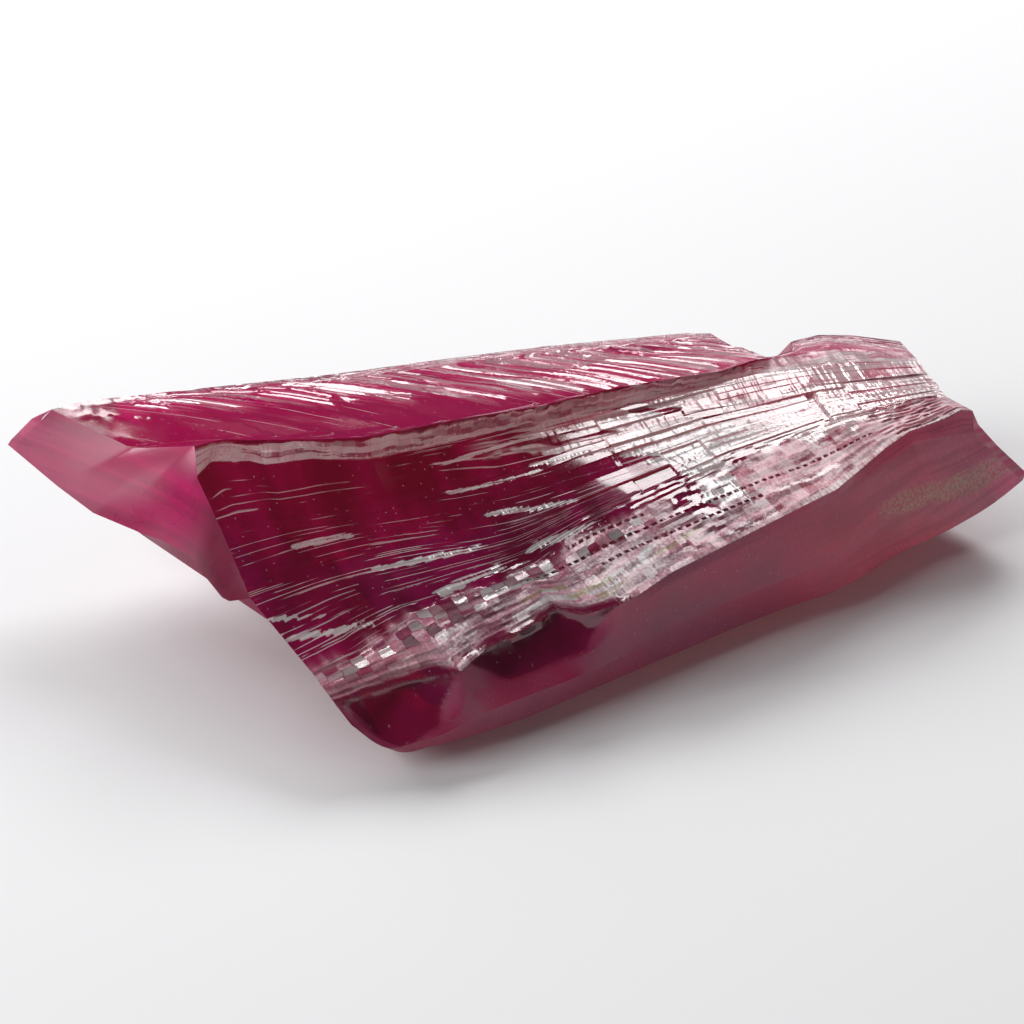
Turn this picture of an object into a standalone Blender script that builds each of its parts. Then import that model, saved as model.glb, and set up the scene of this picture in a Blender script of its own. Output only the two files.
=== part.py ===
"""Raw ruby crystal: one broken, lengthwise-split piece that lies on its curved skin, split face up."""
import math

import bmesh
import bpy
import numpy as np

for old in list(bpy.data.objects):
    bpy.data.objects.remove(old, do_unlink=True)

MM = 0.001                 # everything below is in millimetres
COLUMN_STEP = 0.95         # spacing of the stations along the crystal
CHIP_STEP = 0.62           # finer spacing where the front rim is chipped
BLOCK_STEP = 1.9           # length of the stepped plates towards the far end
RISER = 0.05               # half width of a riser between two plates
LEDGE_RISE = 0.17          # height of a ledge on the split face
PLATE_RISE = 0.30          # spread of the plate heights
CRACK_DROP = 0.42          # depth of the step that crosses the split face
TILE_RISE = 0.09           # height of the tiled rows on the frosted band
HACKLE_RISE = 0.16         # height of the teeth along the back rim
SWEEP_RISE = 0.12          # height of the steps that sweep across the valley
CHIP_DEPTH = (0.85, 0.70)  # depth of the corner chip and of the rim chip
END_BEVEL = 0.42           # narrow clear bevel where the skin meets the far break
WELD = 0.004

# Guide lines of the split face from the front rim to the back rim, each from the near end to the far
# end: (place across the face, points).
FRONT_RIM = [(-13.0, -8.2, 3.3), (-11.6, -8.4, 3.5), (-10.1, -8.7, 3.7), (-8.9, -9.1, 3.8),
             (-8.1, -9.7, 4.0), (-7.3, -9.3, 4.1), (-6.1, -8.8, 4.2), (-5.1, -8.9, 4.4),
             (-3.7, -8.6, 4.5), (-2.7, -8.3, 4.6), (-1.8, -9.4, 4.7), (-0.4, -9.8, 4.9),
             (0.6, -9.6, 5.0), (2.5, -9.1, 5.2), (5.6, -8.9, 5.6), (9.1, -8.6, 6.0),
             (11.2, -8.4, 6.2), (12.9, -7.7, 6.3), (14.7, -7.0, 6.5), (16.3, -6.5, 6.6),
             (18.2, -6.5, 6.7), (19.0, -6.5, 6.9), (19.5, -6.7, 6.8)]
BAND_EDGE = [(-13.3, -6.8, 4.1), (-11.3, -7.0, 4.5), (-8.6, -6.5, 5.0), (-4.5, -6.5, 5.4),
             (-2.5, -6.5, 5.6), (0.6, -5.7, 6.0), (3.0, -5.6, 6.3), (8.4, -5.1, 6.8),
             (13.7, -4.9, 7.1), (19.1, -5.2, 6.9)]
LOWER_FACE = [(-14.1, -2.9, 5.8), (-10.0, -3.2, 6.1), (-4.0, -3.5, 6.6), (2.0, -3.1, 7.1),
              (8.0, -3.1, 7.4), (14.0, -3.4, 7.3), (19.4, -4.2, 6.9)]
UPPER_FACE = [(-14.0, -0.2, 7.6), (-10.0, -0.9, 7.5), (-4.0, -1.7, 7.6), (2.0, -1.5, 7.7),
              (8.0, -1.8, 7.8), (14.0, -2.1, 7.5), (19.6, -3.0, 6.9)]
RIDGE_FOOT = [(-14.2, 1.5, 9.3), (-13.3, 2.0, 9.5), (-11.8, 1.5, 9.4), (-11.3, 1.0, 9.3),
              (-9.6, 0.5, 9.3), (-7.1, -0.5, 9.0), (-4.6, -0.4, 8.8), (-0.6, -0.4, 8.5),
              (5.4, -0.6, 8.1), (12.1, -0.9, 7.9), (17.0, -1.3, 7.3), (19.9, -2.0, 6.9)]
CREST = [(-13.8, 2.5, 10.2), (-12.6, 2.4, 10.2), (-9.1, 0.8, 10.0), (-7.1, 0.2, 9.8),
         (-2.9, 0.0, 9.5), (1.1, -0.2, 9.1), (4.8, -0.2, 8.9), (8.4, -0.6, 8.7),
         (10.2, -0.7, 8.5), (12.2, -0.3, 8.3), (13.7, 0.3, 7.7), (17.0, 0.2, 7.3), (20.1, -1.2, 6.8)]
VALLEY = [(-15.2, 5.8, 8.8), (-12.0, 4.7, 8.9), (-8.0, 3.1, 8.6), (-4.0, 2.2, 8.3),
          (0.0, 1.9, 8.0), (4.0, 1.8, 7.7), (8.0, 1.4, 7.4), (12.0, 1.4, 7.2), (13.2, 1.2, 7.2),
          (14.2, 0.8, 7.3), (17.0, 0.9, 7.2), (20.2, -0.6, 6.8)]
BACK_RIM = [(-17.2, 9.5, 9.4), (-15.6, 9.6, 9.3), (-12.0, 9.2, 8.9), (-7.7, 8.7, 8.4),
            (-4.8, 8.3, 8.1), (0.1, 7.9, 7.6), (3.2, 7.4, 7.4), (5.9, 7.0, 7.2), (9.5, 6.1, 7.0),
            (12.1, 5.2, 7.0), (13.08, 4.6, 7.0), (13.18, 3.15, 7.0), (13.50, 2.65, 7.1),
            (13.62, 2.2, 7.1), (13.72, 1.5, 7.1), (13.84, 1.2, 7.2), (14.2, 1.1, 7.2),
            (15.2, 1.3, 7.1), (15.7, 2.0, 7.1), (17.1, 1.9, 7.1), (18.3, 1.2, 7.1), (20.3, 0.0, 6.8)]
SPLIT_FACE = [(0.0, FRONT_RIM), (1.0, BAND_EDGE), (2.0, LOWER_FACE), (3.0, UPPER_FACE),
              (4.0, RIDGE_FOOT), (5.0, CREST), (6.0, VALLEY), (7.0, BACK_RIM)]

# Guide lines of the underside, from the front rim down the skin, under the piece and up to the back rim.
CHIP_EDGE = [(-12.8, -8.4, 2.9), (-12.2, -8.9, 2.3), (-11.6, -9.4, 1.8), (-11.0, -9.8, 1.5),
             (-10.4, -10.0, 1.6), (-9.3, -10.2, 2.0), (-8.3, -10.2, 2.5), (-8.0, -10.1, 3.1),
             (-7.2, -9.8, 3.0), (-5.8, -9.7, 2.9), (-4.6, -9.7, 2.8), (-3.7, -9.6, 2.8),
             (-1.9, -9.8, 3.1), (-1.1, -9.8, 3.6), (-0.4, -9.8, 4.4), (0.6, -9.7, 4.6),
             (2.5, -9.3, 4.9), (5.6, -9.1, 5.2), (9.2, -8.8, 5.6), (12.9, -7.9, 5.9),
             (16.3, -6.9, 6.2), (19.3, -7.2, 6.0)]
SKIN_MIDDLE = [(-12.6, -8.8, 2.5), (-11.7, -9.5, 1.6), (-10.1, -10.2, 1.7), (-7.2, -10.4, 2.2),
               (-1.3, -10.1, 2.4), (3.3, -9.5, 2.9), (10.9, -9.2, 3.5), (15.4, -7.9, 3.9),
               (18.4, -7.6, 4.3), (20.0, -7.8, 5.0)]
SKIN_FOOT = [(-12.2, -8.9, 2.2), (-11.1, -9.6, 1.2), (-9.4, -10.0, 1.1), (-7.1, -10.2, 1.1),
             (-1.2, -9.8, 1.2), (3.1, -9.4, 1.3), (8.5, -9.0, 1.4), (10.8, -9.1, 1.5),
             (15.1, -8.1, 1.6), (18.2, -7.9, 1.9), (20.7, -7.9, 2.7), (21.4, -8.2, 3.4)]
UNDER_FRONT = [(-11.2, -8.3, 0.9), (-10.0, -8.7, 0.55), (-4.0, -8.7, 0.5), (6.0, -7.9, 0.5),
               (15.0, -6.8, 0.7), (20.7, -7.2, 1.9)]
REST_FRONT = [(-11.0, -6.0, 0.9), (-8.4, -6.6, 0.0), (-4.0, -6.9, 0.0), (6.0, -6.2, 0.0),
              (11.0, -5.4, 0.0), (16.0, -5.2, 0.3), (20.1, -6.2, 1.1)]
REST_BACK = [(-11.4, 0.7, 1.6), (-8.0, 1.0, 0.0), (0.0, 1.2, 0.0), (6.0, 0.8, 0.0),
             (11.0, 0.0, 0.0), (19.0, -1.8, 1.0)]
BACK_LOWER = [(-14.2, 7.0, 3.3), (-8.0, 6.0, 1.7), (0.0, 5.2, 1.4), (8.0, 4.3, 1.4),
              (14.0, 2.0, 1.6), (19.3, 0.1, 2.1)]
BACK_BULGE = [(-18.0, 11.7, 6.6), (-14.0, 10.8, 5.9), (-10.0, 10.1, 5.4), (0.0, 9.0, 4.7),
              (8.0, 7.3, 4.4), (12.0, 6.2, 4.4), (15.0, 4.2, 4.5), (18.0, 2.5, 4.7),
              (20.1, 1.2, 5.0)]
UNDERSIDE = [(0.0, FRONT_RIM), (0.33, CHIP_EDGE), (0.66, SKIN_MIDDLE), (1.0, SKIN_FOOT),
             (1.4, UNDER_FRONT), (1.8, REST_FRONT), (4.0, REST_BACK), (5.2, BACK_LOWER),
             (6.6, BACK_BULGE), (7.0, BACK_RIM)]

# Outline of the near end (front rim, notch, low edge of the smooth end face, tip, back rim) and of the
# far break, by place across the face.
NEAR_EDGE = [(0.0, (-13.0, -8.2, 3.3)), (1.0, (-13.3, -6.8, 4.1)), (2.0, (-14.1, -2.9, 5.8)),
             (2.3, (-14.5, -1.7, 5.1)), (2.5, (-14.5, -1.0, 4.9)), (2.9, (-14.4, 0.8, 4.9)),
             (3.4, (-14.3, 2.5, 4.9)), (4.0, (-14.8, 4.1, 5.0)), (4.4, (-15.3, 5.0, 5.0)),
             (5.4, (-16.6, 7.1, 5.3)), (6.0, (-17.4, 9.0, 5.9)),
             (6.6, (-18.4, 11.9, 6.8)), (6.85, (-17.6, 10.8, 8.4)), (7.0, (-17.2, 9.5, 9.4))]
NOTCH_PLACE = 2.0          # where the smooth end face starts, across the split face

# Ledges of the split face: (place across it, share of LEDGE_RISE).
LEDGES = [(1.28, 0.8), (1.55, 1.0), (1.85, 0.7), (2.2, 1.2), (2.5, 0.8), (2.78, 1.0), (3.1, 0.7),
          (3.42, 1.1), (3.72, 0.7)]
LEDGE_HALF = 0.014


def track(points, u, smooth=False):
    """Points of a guide line at the stations u (0 near end, 1 far end), measured along the crystal."""
    p = np.array(points, float)
    t = (p[:, 0] - p[0, 0]) / (p[-1, 0] - p[0, 0])
    u = np.clip(np.asarray(u, float), 0.0, 1.0)
    if not smooth:
        return np.stack([np.interp(u, t, p[:, k]) for k in range(3)], -1)
    slope = np.gradient(p, t, axis=0)
    i = np.clip(np.searchsorted(t, u, side="right") - 1, 0, len(t) - 2)
    h = (t[i + 1] - t[i])[:, None]
    s = ((u - t[i]) / (t[i + 1] - t[i]))[:, None]
    return ((2 * s**3 - 3 * s**2 + 1) * p[i] + (s**3 - 2 * s**2 + s) * h * slope[i]
            + (3 * s**2 - 2 * s**3) * p[i + 1] + (s**3 - s**2) * h * slope[i + 1])


def across(guides, rows, u, smooth=()):
    """Grid of points (row, station, xyz) between guide lines, flat from one line to the next."""
    places = np.array([g[0] for g in guides])
    lines = np.stack([track(g[1], u, g[0] in smooth) for g in guides])
    out = np.empty((len(rows), len(u), 3))
    for r, v in enumerate(rows):
        i = min(int(np.searchsorted(places, v, side="right")) - 1, len(places) - 2)
        s = (v - places[i]) / (places[i + 1] - places[i])
        out[r] = (1 - s) * lines[i] + s * lines[i + 1]
    return out


def edge_at(edge, rows):
    """Points of an end outline at the given places across the face."""
    places = [e[0] for e in edge]
    return np.stack([np.interp(rows, places, [e[1][k] for e in edge]) for k in range(3)], -1)


def stations():
    """Station places along the crystal, closer at the chips, the plates and the notch."""
    length = FRONT_RIM[-1][0] - FRONT_RIM[0][0]
    u = list(np.arange(0.0, 13.5, CHIP_STEP) / length)
    u += list(np.arange(13.9, length - 0.3, COLUMN_STEP) / length)
    back = BACK_RIM[-1][0] - BACK_RIM[0][0]
    u += [(x - BACK_RIM[0][0]) / back for x in (13.08, 13.18, 13.5, 13.62, 13.72, 13.84)]
    for edge in block_edges():
        u += [edge - RISER / length, edge + RISER / length]
    u = sorted(u + [1.0])
    keep = [0.0]
    for value in u[1:]:
        if value - keep[-1] > 0.0024:
            keep.append(value)
    keep[-1] = 1.0
    return np.array(keep)


def block_edges():
    """Places along the crystal where one plate steps to the next."""
    length = FRONT_RIM[-1][0] - FRONT_RIM[0][0]
    return [x / length for x in np.arange(17.0, 31.0, BLOCK_STEP)]


def rows_across():
    """Rows across the split face: a pair at every ledge so that its riser stays steep."""
    rows = [0.0, 0.11, 0.22, 0.33, 0.5, 0.66, 0.83, 1.0, 2.0, 3.0, 4.0, 4.5, 5.0, 5.5, 6.0, 6.2,
            6.4, 6.6, 6.75, 6.87, 7.0]
    for place, _ in LEDGES:
        rows += [place - LEDGE_HALF, place + LEDGE_HALF]
    return np.array(sorted(rows))


def fade(x, a, b):
    """0 at a, 1 at b, smooth between them."""
    s = np.clip((x - a) / (b - a), 0.0, 1.0)
    return s * s * (3 - 2 * s)


def split_relief(rows, u):
    """Heights added to the split face: ledges, plates, the crossing step, tiles, sweeps and teeth."""
    dice = np.random.RandomState(7)
    v, w = np.meshgrid(rows, u, indexing="ij")
    dz = np.zeros_like(v)
    inner = fade(w, 0.0, 0.04) * (1 - fade(w, 0.965, 1.0))
    places = [1.0] + [p for p, _ in LEDGES] + [4.0]
    shares = [0.0] + [s for _, s in LEDGES] + [0.0]
    for i in range(len(places) - 1):
        low, high = places[i], places[i + 1]
        rise_low, rise_high = shares[i] * LEDGE_RISE, shares[i + 1] * LEDGE_RISE
        s = np.clip((v - low) / (high - low), 0.0, 1.0)
        here = (v > low) & (v < high)
        wave = 0.55 + 0.45 * np.sin(2.1 * i + 9.0 * w)
        dz += np.where(here, ((1 - s) * rise_low - s * rise_high) * 0.5 * wave, 0.0)
    edges = block_edges()
    for i in range(1, len(places) - 1):
        low, high = places[i], places[i + 1]
        rise = dice.uniform(-0.5, 0.5, len(edges) + 1) * PLATE_RISE
        here = (v > low) & (v < high)
        block = np.searchsorted(edges, w.ravel()).reshape(w.shape)
        dz += np.where(here & (w > edges[0]), rise[block], 0.0)
    crossing = (w > edges[5]) & (w < edges[5] + 0.028) & (v > 2.0) & (v < 3.9)
    dz -= np.where(crossing, CRACK_DROP, 0.0)
    band = (v > 0.02) & (v < 0.98)
    dz += np.where(band, TILE_RISE * np.sin(37.0 * v + 2.0) * np.sin(61.0 * w + 5.0 * v), 0.0)
    ridge = np.where((v > 4.2) & (v < 4.9), 0.08 * np.sin(140.0 * w), 0.0)
    sweep = np.where((v > 5.05) & (v < 6.95), SWEEP_RISE * (((w * 14 + v * 1.7) % 1.0) - 0.5), 0.0)
    teeth = np.where((v > 6.55) & (v < 6.95), HACKLE_RISE * dice.uniform(-1, 0.3, v.shape), 0.0)
    return (dz + ridge + sweep + teeth) * inner


def chip_relief(rows, u):
    """How far the skin is hollowed below the front rim by the corner chip and the rim chip."""
    v, w = np.meshgrid(rows, u, indexing="ij")
    s = np.clip(v / 0.33, 0.0, 1.0)
    bowl = np.where(v < 0.33, 4 * s * (1 - s), 0.0)
    x = FRONT_RIM[0][0] + w * (FRONT_RIM[-1][0] - FRONT_RIM[0][0])
    corner = fade(x, -12.9, -11.6) * (1 - fade(x, -9.6, -8.2))
    rim = fade(x, -7.4, -5.6) * (1 - fade(x, -2.6, -0.6))
    return bowl * (corner * CHIP_DEPTH[0] + rim * CHIP_DEPTH[1])


def strip(a, b, count, bow=0.0, way=(0.0, 0.0, 0.0), early=1.0):
    """Grid between two matched edges, bowed towards way by up to bow, sooner for early below 1."""
    t = np.linspace(0.0, 1.0, count)[None, :, None]
    grid = a[:, None, :] * (1 - t) + b[:, None, :] * t
    reach = np.linalg.norm(b - a, axis=1)[:, None, None]
    return grid + 4 * t**early * (1 - t) * bow * reach * np.array(way)[None, None, :]


def ruby_grids():
    """All surface grids of the crystal, each (rows, columns, xyz)."""
    u, rows = stations(), rows_across()
    top = across(SPLIT_FACE, rows, u)
    top[..., 2] += split_relief(rows, u)
    under = across(UNDERSIDE, rows, u, smooth=(0.66, 1.0, 1.4, 5.2, 6.6))
    hollow = chip_relief(rows, u)
    under[..., 1] += hollow * 0.85
    under[..., 2] += hollow * 0.25
    top[0] = under[0] = track(FRONT_RIM, u)
    top[-1] = under[-1] = track(BACK_RIM, u)
    near = edge_at(NEAR_EDGE, rows)
    low = rows <= NOTCH_PLACE
    near[low] = top[low, 0]
    near[-1] = top[-1, 0]
    end_face = strip(near[~low | (rows == NOTCH_PLACE)], top[~low | (rows == NOTCH_PLACE), 0], 7,
                     0.05, (-0.88, -0.32, 0.35))
    undercut = strip(near, under[:, 0], 6, 0.16, (0.6, 0.6, 0.2), 0.5)
    skin_end, far = under[:, -1], top[:, -1]
    out = np.array([0.75, 0.35, 0.55])
    ease = (np.clip(rows / 0.33, 0, 1) * np.clip((7 - rows) / 0.4, 0, 1))[:, None]
    bevel = skin_end + out * END_BEVEL * ease
    far_bevel = strip(skin_end, bevel, 2)
    far_break = strip(bevel, far, 5, -0.05, (0.9, 0.1, 0.0))
    return [top, under, end_face, undercut, far_bevel, far_break]


def add_grid(bm, grid):
    """Adds one grid of quads."""
    verts = [[bm.verts.new(tuple(p)) for p in row] for row in grid]
    for a, b in zip(verts[:-1], verts[1:]):
        for i in range(len(a) - 1):
            bm.faces.new((a[i], a[i + 1], b[i + 1], b[i]))


def build_ruby():
    """Welds the grids into one closed solid, flat on its rest facet, centred over the origin."""
    bm = bmesh.new()
    for grid in ruby_grids():
        add_grid(bm, grid)
    bmesh.ops.remove_doubles(bm, verts=bm.verts, dist=WELD)
    bmesh.ops.dissolve_degenerate(bm, edges=bm.edges, dist=WELD)
    bmesh.ops.triangulate(bm, faces=bm.faces)
    bmesh.ops.recalc_face_normals(bm, faces=bm.faces)
    if bm.calc_volume(signed=True) < 0:
        bmesh.ops.reverse_faces(bm, faces=bm.faces)
    co = np.array([v.co[:] for v in bm.verts])
    mid = (co.min(0) + co.max(0)) / 2
    for v in bm.verts:
        v.co.x, v.co.y = (v.co.x - mid[0]) * MM, (v.co.y - mid[1]) * MM
        v.co.z = (v.co.z - co[:, 2].min()) * MM
    mesh = bpy.data.meshes.new("ruby_crystal")
    bm.to_mesh(mesh)
    bm.free()
    ruby = bpy.data.objects.new("ruby_crystal", mesh)
    bpy.context.scene.collection.objects.link(ruby)
    return ruby


def ruby_material():
    """Clear deep red corundum."""
    mat = bpy.data.materials.new("ruby")
    mat.use_nodes = True
    shader = mat.node_tree.nodes["Principled BSDF"]
    shader.inputs["Base Color"].default_value = (0.30, 0.01, 0.07, 1.0)
    shader.inputs["Roughness"].default_value = 0.22
    shader.inputs["IOR"].default_value = 1.77
    shader.inputs["Transmission Weight"].default_value = 0.6
    return mat


crystal = build_ruby()
crystal.data.materials.append(ruby_material())
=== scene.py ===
"""Looks of the raw ruby crystal: one split piece of clear red corundum, frosted skin underneath."""

import logging
import math
from dataclasses import dataclass, field
from enum import Enum

import bmesh
import bpy
import numpy as np
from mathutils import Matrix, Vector

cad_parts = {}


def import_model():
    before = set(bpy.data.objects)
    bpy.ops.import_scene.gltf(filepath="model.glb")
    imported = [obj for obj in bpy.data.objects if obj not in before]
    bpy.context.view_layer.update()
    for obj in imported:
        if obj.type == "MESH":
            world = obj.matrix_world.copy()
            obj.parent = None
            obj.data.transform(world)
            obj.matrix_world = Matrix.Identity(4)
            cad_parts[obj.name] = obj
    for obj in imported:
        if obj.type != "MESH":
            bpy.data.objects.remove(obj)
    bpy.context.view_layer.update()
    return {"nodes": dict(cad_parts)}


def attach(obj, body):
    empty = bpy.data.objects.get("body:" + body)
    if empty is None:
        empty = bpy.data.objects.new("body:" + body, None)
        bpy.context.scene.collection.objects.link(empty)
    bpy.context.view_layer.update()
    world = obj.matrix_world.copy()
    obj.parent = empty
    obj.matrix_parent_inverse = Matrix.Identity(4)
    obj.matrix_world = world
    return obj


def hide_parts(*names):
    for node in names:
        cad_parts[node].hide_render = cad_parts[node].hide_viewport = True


LOG = logging.getLogger("ruby")
NODE = "ruby_crystal"
MM = 0.001
UV_METRES = 0.05
WELD_MM = 0.002
SHARP_DEGREES = 24.0
KNOTS = 512
# Places across the face of the ridge's crest and the back rim, and millimetres to the crest.
CREST, BACK_RIM, CREST_MM = 5.0, 7.0, 11.2

Point = tuple[float, float, float]
Socket = bpy.types.NodeSocket
Zones = dict["Mask", Socket]
Colour = tuple[float, float, float, float]


class Mask(Enum):
    """Surface zones, each kept on the mesh as a number from 0 to 1."""

    FROST = "frost"          # ground-glass skin, band and ridge
    PALE = "pale"            # lavender and white fracture frost rather than mauve skin
    THIN = "thin"            # painted glow: the red is painted brighter where light comes through
    LINES = "lines"          # fine fracture lines along the grain
    SWEEP = "sweep"          # lines and tiles that sweep down from the back rim
    PLATES = "plates"        # level plates that glint, painted silver for the light they mirror
    TILES = "tiles"          # small leaning tiles
    PITS = "pits"            # rows of tiny pits, like perforations, painted dark as the shade in their holes
    GROWTH = "growth"        # fine bands of the smooth end face and of the chips' upper wall
    OLIVE = "olive"          # yellowish film in the frosted band
    STAIN = "stain"          # greenish rock dust
    EDGE = "edge"            # bruised, whitish edges
    WISP = "wisp"            # feathery white streaks of crushed stone, and the painted silver sheen of the ridge


def fade(x: np.ndarray | float, start: float, end: float) -> np.ndarray:
    """Smooth step.

    Args:
        x: Values to map.
        start: Value that gives 0.
        end: Value that gives 1.

    Returns:
        Numbers from 0 to 1, smooth between start and end.
    """
    s = np.clip((np.asarray(x, float) - start) / (end - start), 0.0, 1.0)
    return s * s * (3 - 2 * s)


def window(x: np.ndarray, low: float, high: float, soft: float) -> np.ndarray:
    """1 between low and high, 0 outside, with soft ends."""
    return fade(x, low - soft, low + soft) * (1 - fade(x, high - soft, high + soft))


@dataclass(frozen=True)
class Spot:
    """A long patch on the face, lying along the grain.

    Args:
        x: Middle along the crystal, in millimetres from the near end.
        place: Middle across.
        length: Length in millimetres.
        width: Width as a place across.
        lean: Change of place for each millimetre along.
        share: Strength from 0 to 1.
    """

    x: float
    place: float
    length: float
    width: float
    lean: float = 0.0
    share: float = 1.0

    def over(self, v: np.ndarray, x: np.ndarray) -> np.ndarray:
        """How much of the spot lies at each place, from 0 to its share, with ragged edges.

        Args:
            v: Places across.
            x: Millimetres along from the near end.

        Returns:
            Numbers from 0 to the share.
        """
        ragged = 0.35 * wander(x + 7.0 * v, int(self.x * 10) % 97 + 3, 0.8)
        off = (v - self.place - self.lean * (x - self.x)) / (self.width / 2) + ragged
        far = (x - self.x) / (self.length / 2) + 0.3 * wander(v * 6.0 + self.x, 5, 0.7)
        return self.share * (1 - fade(np.abs(off), 0.8, 1.15)) * (1 - fade(np.abs(far), 0.85, 1.1))


def spots_over(spots: tuple[Spot, ...], v: np.ndarray, x: np.ndarray) -> np.ndarray:
    """The strongest of a set of spots at each place."""
    return np.max([spot.over(v, x) for spot in spots], axis=0)


def far_bruise(x: np.ndarray) -> np.ndarray:
    """How bruised the front rim is, faintly near the near end and fully beyond its middle."""
    return 0.15 + 0.85 * fade(x, 12.0, 17.0)


def wander(x: np.ndarray, seed: int, scale: float) -> np.ndarray:
    """Smooth random curve.

    Args:
        x: Places along the curve.
        seed: Picks the curve.
        scale: Distance between its random knots.

    Returns:
        Values from -1 to 1 at x.
    """
    dice = np.random.RandomState(seed)
    knots = dice.uniform(-1, 1, KNOTS)
    at = np.asarray(x, float) / scale + 100.0
    i = np.floor(at).astype(int) % (KNOTS - 1)
    s = at - np.floor(at)
    s = s * s * (3 - 2 * s)
    return knots[i] * (1 - s) + knots[i + 1] * s


@dataclass(frozen=True)
class Guide:
    """One line along the crystal, in millimetres.

    Args:
        place: Where the line lies across the surface.
        points: Its points from the near end to the far end.
        smooth: True for a line that bends softly, as on the skin.
    """

    place: float
    points: tuple[Point, ...]
    smooth: bool = False

    def at(self, stations: np.ndarray) -> np.ndarray:
        """Points of the line.

        Args:
            stations: Places along the line, 0 at the near end and 1 at the far end.

        Returns:
            One point for each station.
        """
        p = np.array(self.points, float)
        t = (p[:, 0] - p[0, 0]) / (p[-1, 0] - p[0, 0])
        u = np.clip(np.asarray(stations, float), 0.0, 1.0)
        if not self.smooth:
            return np.stack([np.interp(u, t, p[:, k]) for k in range(3)], -1)
        slope = np.gradient(p, t, axis=0)
        i = np.clip(np.searchsorted(t, u, side="right") - 1, 0, len(t) - 2)
        h = (t[i + 1] - t[i])[:, None]
        s = ((u - t[i]) / (t[i + 1] - t[i]))[:, None]
        return (
            (2 * s**3 - 3 * s**2 + 1) * p[i]
            + (s**3 - 2 * s**2 + s) * h * slope[i]
            + (3 * s**2 - 2 * s**3) * p[i + 1]
            + (s**3 - s**2) * h * slope[i + 1]
        )

    @property
    def length(self) -> float:
        """Distance along X from end to end."""
        return self.points[-1][0] - self.points[0][0]

    def station(self, x: float) -> float:
        """Station of a place along X."""
        return (x - self.points[0][0]) / self.length


def between(guides: list[Guide], rows: np.ndarray, stations: np.ndarray) -> np.ndarray:
    """Surface through a set of lines.

    Args:
        guides: The lines, in order across the surface.
        rows: Places across.
        stations: Places along.

    Returns:
        A grid of points, straight from one line to the next.
    """
    places = np.array([g.place for g in guides])
    lines = np.stack([g.at(stations) for g in guides])
    i = np.clip(np.searchsorted(places, rows, side="right") - 1, 0, len(places) - 2)
    s = ((rows - places[i]) / (places[i + 1] - places[i]))[:, None, None]
    return (1 - s) * lines[i] + s * lines[i + 1]


@dataclass
class Patch:
    """One grid of the surface with its zones.

    Args:
        points: Rows by columns of points, in millimetres.
        along: Millimetres along the crystal at each point, for the grain of the finish.
        across: Millimetres across it.
        masks: Zones by name. One that isn't named is 0.
    """

    points: np.ndarray
    along: np.ndarray
    across: np.ndarray
    masks: dict[Mask, np.ndarray] = field(default_factory=dict)


@dataclass
class Mesher:
    """Rows and columns that every patch of the crystal shares.

    Args:
        columns: Number of even stations along the crystal.
        band_rows: Rows on the frosted band.
        face_rows: Rows on the main face.
        ridge_rows: Rows on the ridge.
        valley_rows: Rows on the valley.
        ledge_half: Half the width of a ledge's riser, as a place across.
        riser: Half the width of a riser between two plates, in millimetres.
    """

    columns: int = 212
    band_rows: int = 26
    face_rows: int = 84
    ridge_rows: int = 12
    valley_rows: int = 40
    ledge_half: float = 0.014
    riser: float = 0.05

    def rows(self, ledges: list[float]) -> np.ndarray:
        """Places across the face, with a pair at each ledge.

        Args:
            ledges: Places of the ledges.

        Returns:
            Sorted places from 0 to 7.
        """
        rows = np.concatenate([
            np.linspace(0.0, 1.0, self.band_rows, endpoint=False),
            np.linspace(1.0, 4.0, self.face_rows, endpoint=False),
            np.linspace(4.0, 5.0, self.ridge_rows, endpoint=False),
            np.linspace(5.0, 7.0, self.valley_rows),
        ])
        for place in ledges:
            rows = rows[np.abs(rows - place) > self.ledge_half * 1.1]
        pairs = [p + side * self.ledge_half for p in ledges for side in (-1, 1)]
        return np.array(sorted([*rows, *pairs]))

    def stations(self, steps: list[float], length: float) -> np.ndarray:
        """Places along the crystal, with a pair at each step.

        Args:
            steps: Stations of the steps.
            length: Length that the stations cover, in millimetres.

        Returns:
            Sorted stations from 0 to 1.
        """
        even = np.linspace(0.0, 1.0, self.columns)
        half = self.riser / length
        for place in steps:
            even = even[np.abs(even - place) > half * 1.2]
        return np.array(sorted([*even, *[p + side * half for p in steps for side in (-1, 1)]]))


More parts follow.
